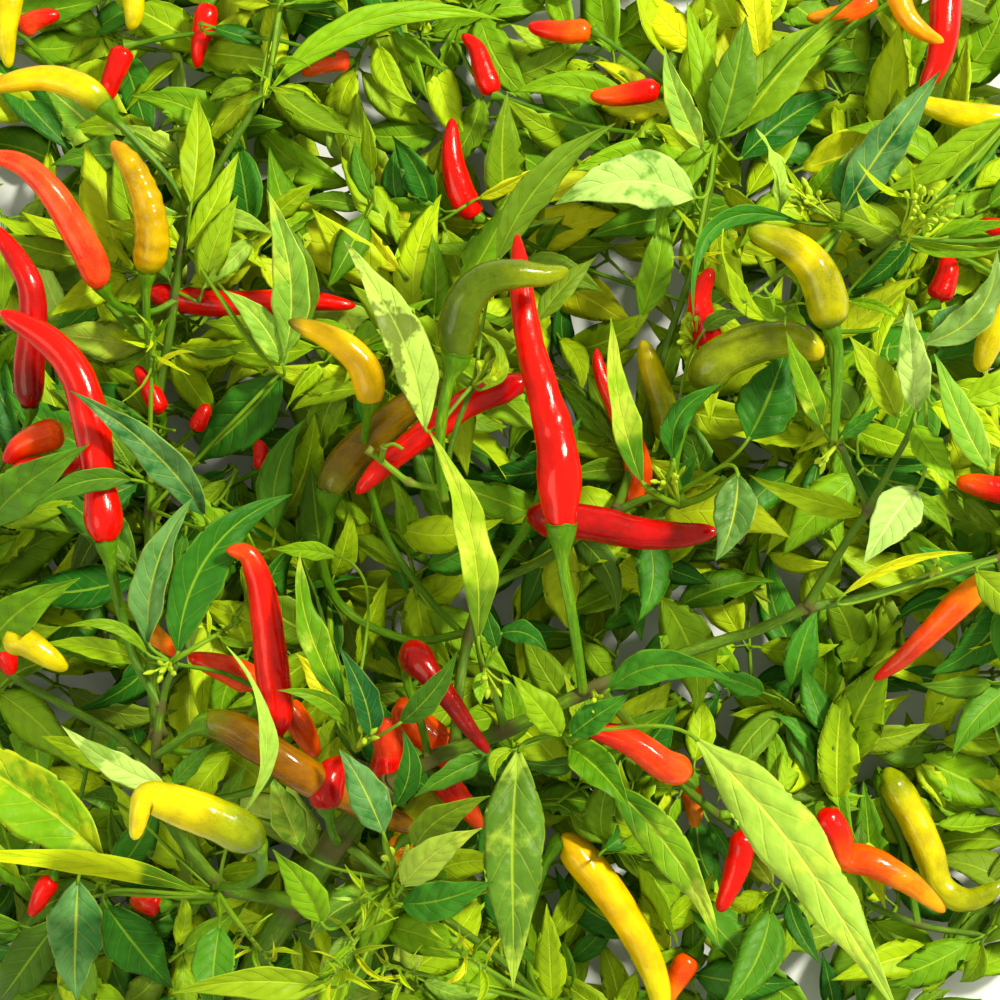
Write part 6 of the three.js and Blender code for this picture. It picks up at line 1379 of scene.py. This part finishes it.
def add_tuft(leaves, twigs, hub, middle, count, longest, tints, seed):
    """A young shoot: narrow leaves that leave a rising twig one after another, the youngest at its end."""
    rng = np.random.default_rng(seed)
    root, centre = place(hub), place(middle)
    out = unit(centre - root)
    ends = curve_through([root, root * 0.5 + centre * 0.5 + [0, 0, 1.5], centre, centre + unit(np.array([out[0], out[1], 0.9])) * longest * 0.42])
    line = even(ends, 30)
    twigs.sweep(round_rings(line, np.linspace(0.72, 0.34, 31), 8), np.linspace(0, 1, 31) * 20, 0, tone=(0.5, 0.1, 0))
    turn = rng.uniform(0, 6.3)
    way = lengths(line)[-1]
    for i in range(count):
        share = i / max(1, count - 1)
        at = at_shares(line, [1 - share * min(0.6, 0.95 * longest / way)])[0]
        a = turn + 2.4 * i + rng.uniform(-0.5, 0.5)
        pitch = rng.uniform(0.05, 0.5) + 0.55 * (1 - share) * rng.uniform(0.4, 1)
        d = unit(np.array([math.cos(a) * math.cos(pitch), math.sin(a) * math.cos(pitch), math.sin(pitch)]) + 0.35 * unit(np.array([out[0], out[1], 0.0])))
        long = longest * (0.5 + 0.5 * share) * rng.uniform(0.6, 1.1)
        foot = at + d * 0.9
        add_leaf(leaves, twigs, at, foot, foot + d * long, long * rng.uniform(0.13, 0.24), rng.normal(0, 35), rng.normal(0, 40), rng.uniform(0.04, 0.22), rng.uniform(-0.2, 0.2), rng.uniform(20, 46), tints[i % len(tints)], int(rng.integers(1 << 30)), grid=(14, 8), curly=1.6)


BACK_SKINS = {}
BACK_SLOT = {"wine": "red", "crimson": "red", "coral": "red", "olive": "brown", "gold": "amber", "bright": "amber"}
ALL_LIMB_POINTS = np.vstack([even(line, max(4, int(lengths(line)[-1] / 1.5))) for line in LIMB_LINES.values()])

SPACING = 13.5
FILL = 230
CLEAR = kept_clear()
heaps = {key: {kind: Heap() for kind in ("leaves", "twigs", "buds")} for key in HUBS}
for order, (key, (node, hub, collar)) in enumerate(HUBS.items()):
    leaves, twigs, buds = (heaps[key][kind] for kind in ("leaves", "twigs", "buds"))
    root = place(hub)
    for i, row in enumerate([r for r in LEAVES + MORE_LEAVES if r[0] == key]):
        _, foot, tip, width, roll, twist, arch, bow, fold, tint, *curly = row
        change = ALTERED.get((key, foot[0], foot[1]), {})
        tint, tip, width = RETINT.get((key, foot[0], foot[1]), tint), change.get("tip", tip), change.get("width", width)
        curly = [change["curly"]] if "curly" in change else curly
        mm = width * step_at((foot[2] + tip[2]) / 2)
        fine = (40, 14) if width > 30 else (30, 14) if width > 14 else (24, 14)
        add_leaf(leaves, twigs, place(change["root"]) if "root" in change else root, place(foot), place(tip), mm, roll, twist, arch, bow, fold, tint, 1000 * order + i, grid=fine, curly=(curly or [1.0])[0])
    if key in THICKETS:
        for i, (r0, foot, tip, width, roll, twist, arch, bow) in enumerate(spray_leaves(key)):
            tip = [tip[0], tip[1], max(tip[2], 1.5)]
            mm = width * step_at((foot[2] + tip[2]) / 2)
            add_leaf(leaves, twigs, place(r0), place(foot), place(tip), mm, roll, twist, arch, bow, 12, TINTS[key][i % len(TINTS[key])], 5000 + 100 * order + i, grid=(24, 10))
    for i, (h, a, b, radius, line) in enumerate(BACKFRUITS):
        if h != key:
            continue
        pts = [place(p) for p in line]
        curve = curve_through(pts)
        rings, s = pod_rings(curve, radius, 38, 20, 700 + i, "taper" if i % 3 == 1 and radius > 2.2 else "round", 1.4)
        pod = Heap()
        pod.sweep(rings, s, 0)
        tint = (a, b)
        if tint not in BACK_SKINS:
            BACK_SKINS[tint] = pod_material("skin_" + a + "_" + b, [(0.25, RIPE[a]), (0.85, RIPE[b])])
        pod.made(f"backpod_{key}_{i}", [BACK_SKINS[tint]], None, "fruit_" + BACK_SLOT.get(a, a))
        base = pts[0]
        inward = unit(curve[3] - curve[0])
        near = ALL_LIMB_POINTS[np.argmin(np.linalg.norm(ALL_LIMB_POINTS - (base - inward * 6), axis=1))]
        foot_line = np.vstack([near, near * 0.45 + (base - inward * 5) * 0.55 - [0, 0, 2.0], base - inward * 0.2 * radius])
        rings2, v2, _ = cap_rings(curve_through(foot_line), curve, radius, 0.42, 16, i, 0.56, 1.2)
        twigs.sweep(rings2, v2, 1, tone=(0.5, 0.1, 0))
    for i, (h, at, middle, size, count) in enumerate(BUDS):
        if h == key:
            add_buds(buds, twigs, at, middle, size, count, 900 + i)
    for i, (h, at, middle, count, longest, tints) in enumerate(TUFTS):
        if h == key:
            add_tuft(leaves, twigs, at, middle, count, longest, tints, 4000 + i)
    for h, points, r0, r1, knobs in STUBS:
        if h == key:
            stub(twigs, points, r0, r1, knobs)
grow(heaps)
for key, (node, hub, collar) in HUBS.items():
    h = heaps[key]
    h["leaves"].made("foliage_" + key, LEAF_MATERIALS, node, "leaf")
    h["twigs"].made("twigs_" + key, [TWIG, STALK], None, "stem")
    h["buds"].made("buds_" + key, [BUD], None, "leaf")

# ---------------------------------------------------------------- floor, light and camera
bpy.ops.mesh.primitive_plane_add(size=8, location=(0, 0, -0.0003))
floor = bpy.context.object
floor.name = "floor"
m, t, b = shader("floor_pale")
g = Graph(t)
c = g.mix(g.noise(g.where(), 3.0, 2.0), (0.64, 0.67, 0.78), (0.68, 0.71, 0.82))
t.links.new(c, b.inputs["Base Color"])
b.inputs["Roughness"].default_value = 0.8
floor.data.materials.append(m)

world = bpy.data.worlds.new("studio")
bpy.context.scene.world = world
world.use_nodes = True
bg = world.node_tree.nodes["Background"]
bg.inputs[0].default_value = (1.0, 0.965, 0.66, 1)
bg.inputs[1].default_value = 0.73


def lamp(name, at, to, size, power, colour):
    d = bpy.data.lights.new(name, "AREA")
    d.shape = "DISK"
    d.size = size
    d.energy = power
    d.color = colour
    o = bpy.data.objects.new(name, d)
    o.location = at
    o.rotation_mode = "QUATERNION"
    o.rotation_quaternion = (Vector(to) - Vector(at)).to_track_quat("-Z", "Y")
    bpy.context.scene.collection.objects.link(o)


lamp("key", (0.80, 0.62, 1.00), (0, 0, 0.03), 0.20, 33, (1.0, 0.94, 0.68))
lamp("fill", (-0.8, -0.4, 1.1), (0, 0, 0.03), 0.9, 6, (1.0, 0.97, 0.72))

camera = bpy.data.cameras.new("camera")
camera.lens = 100
camera.sensor_width = 36
camera.clip_start, camera.clip_end = 0.05, 20
eye = bpy.data.objects.new("camera", camera)
eye.location = (SHIFT[0] / 1000, SHIFT[1] / 1000, (FOCUS + EYE) / 1000)
bpy.context.scene.collection.objects.link(eye)
bpy.context.scene.camera = eye
bpy.context.scene.view_settings.view_transform = "Standard"
bpy.context.scene.view_settings.look = "None"
bpy.context.scene.view_settings.exposure = 0.0
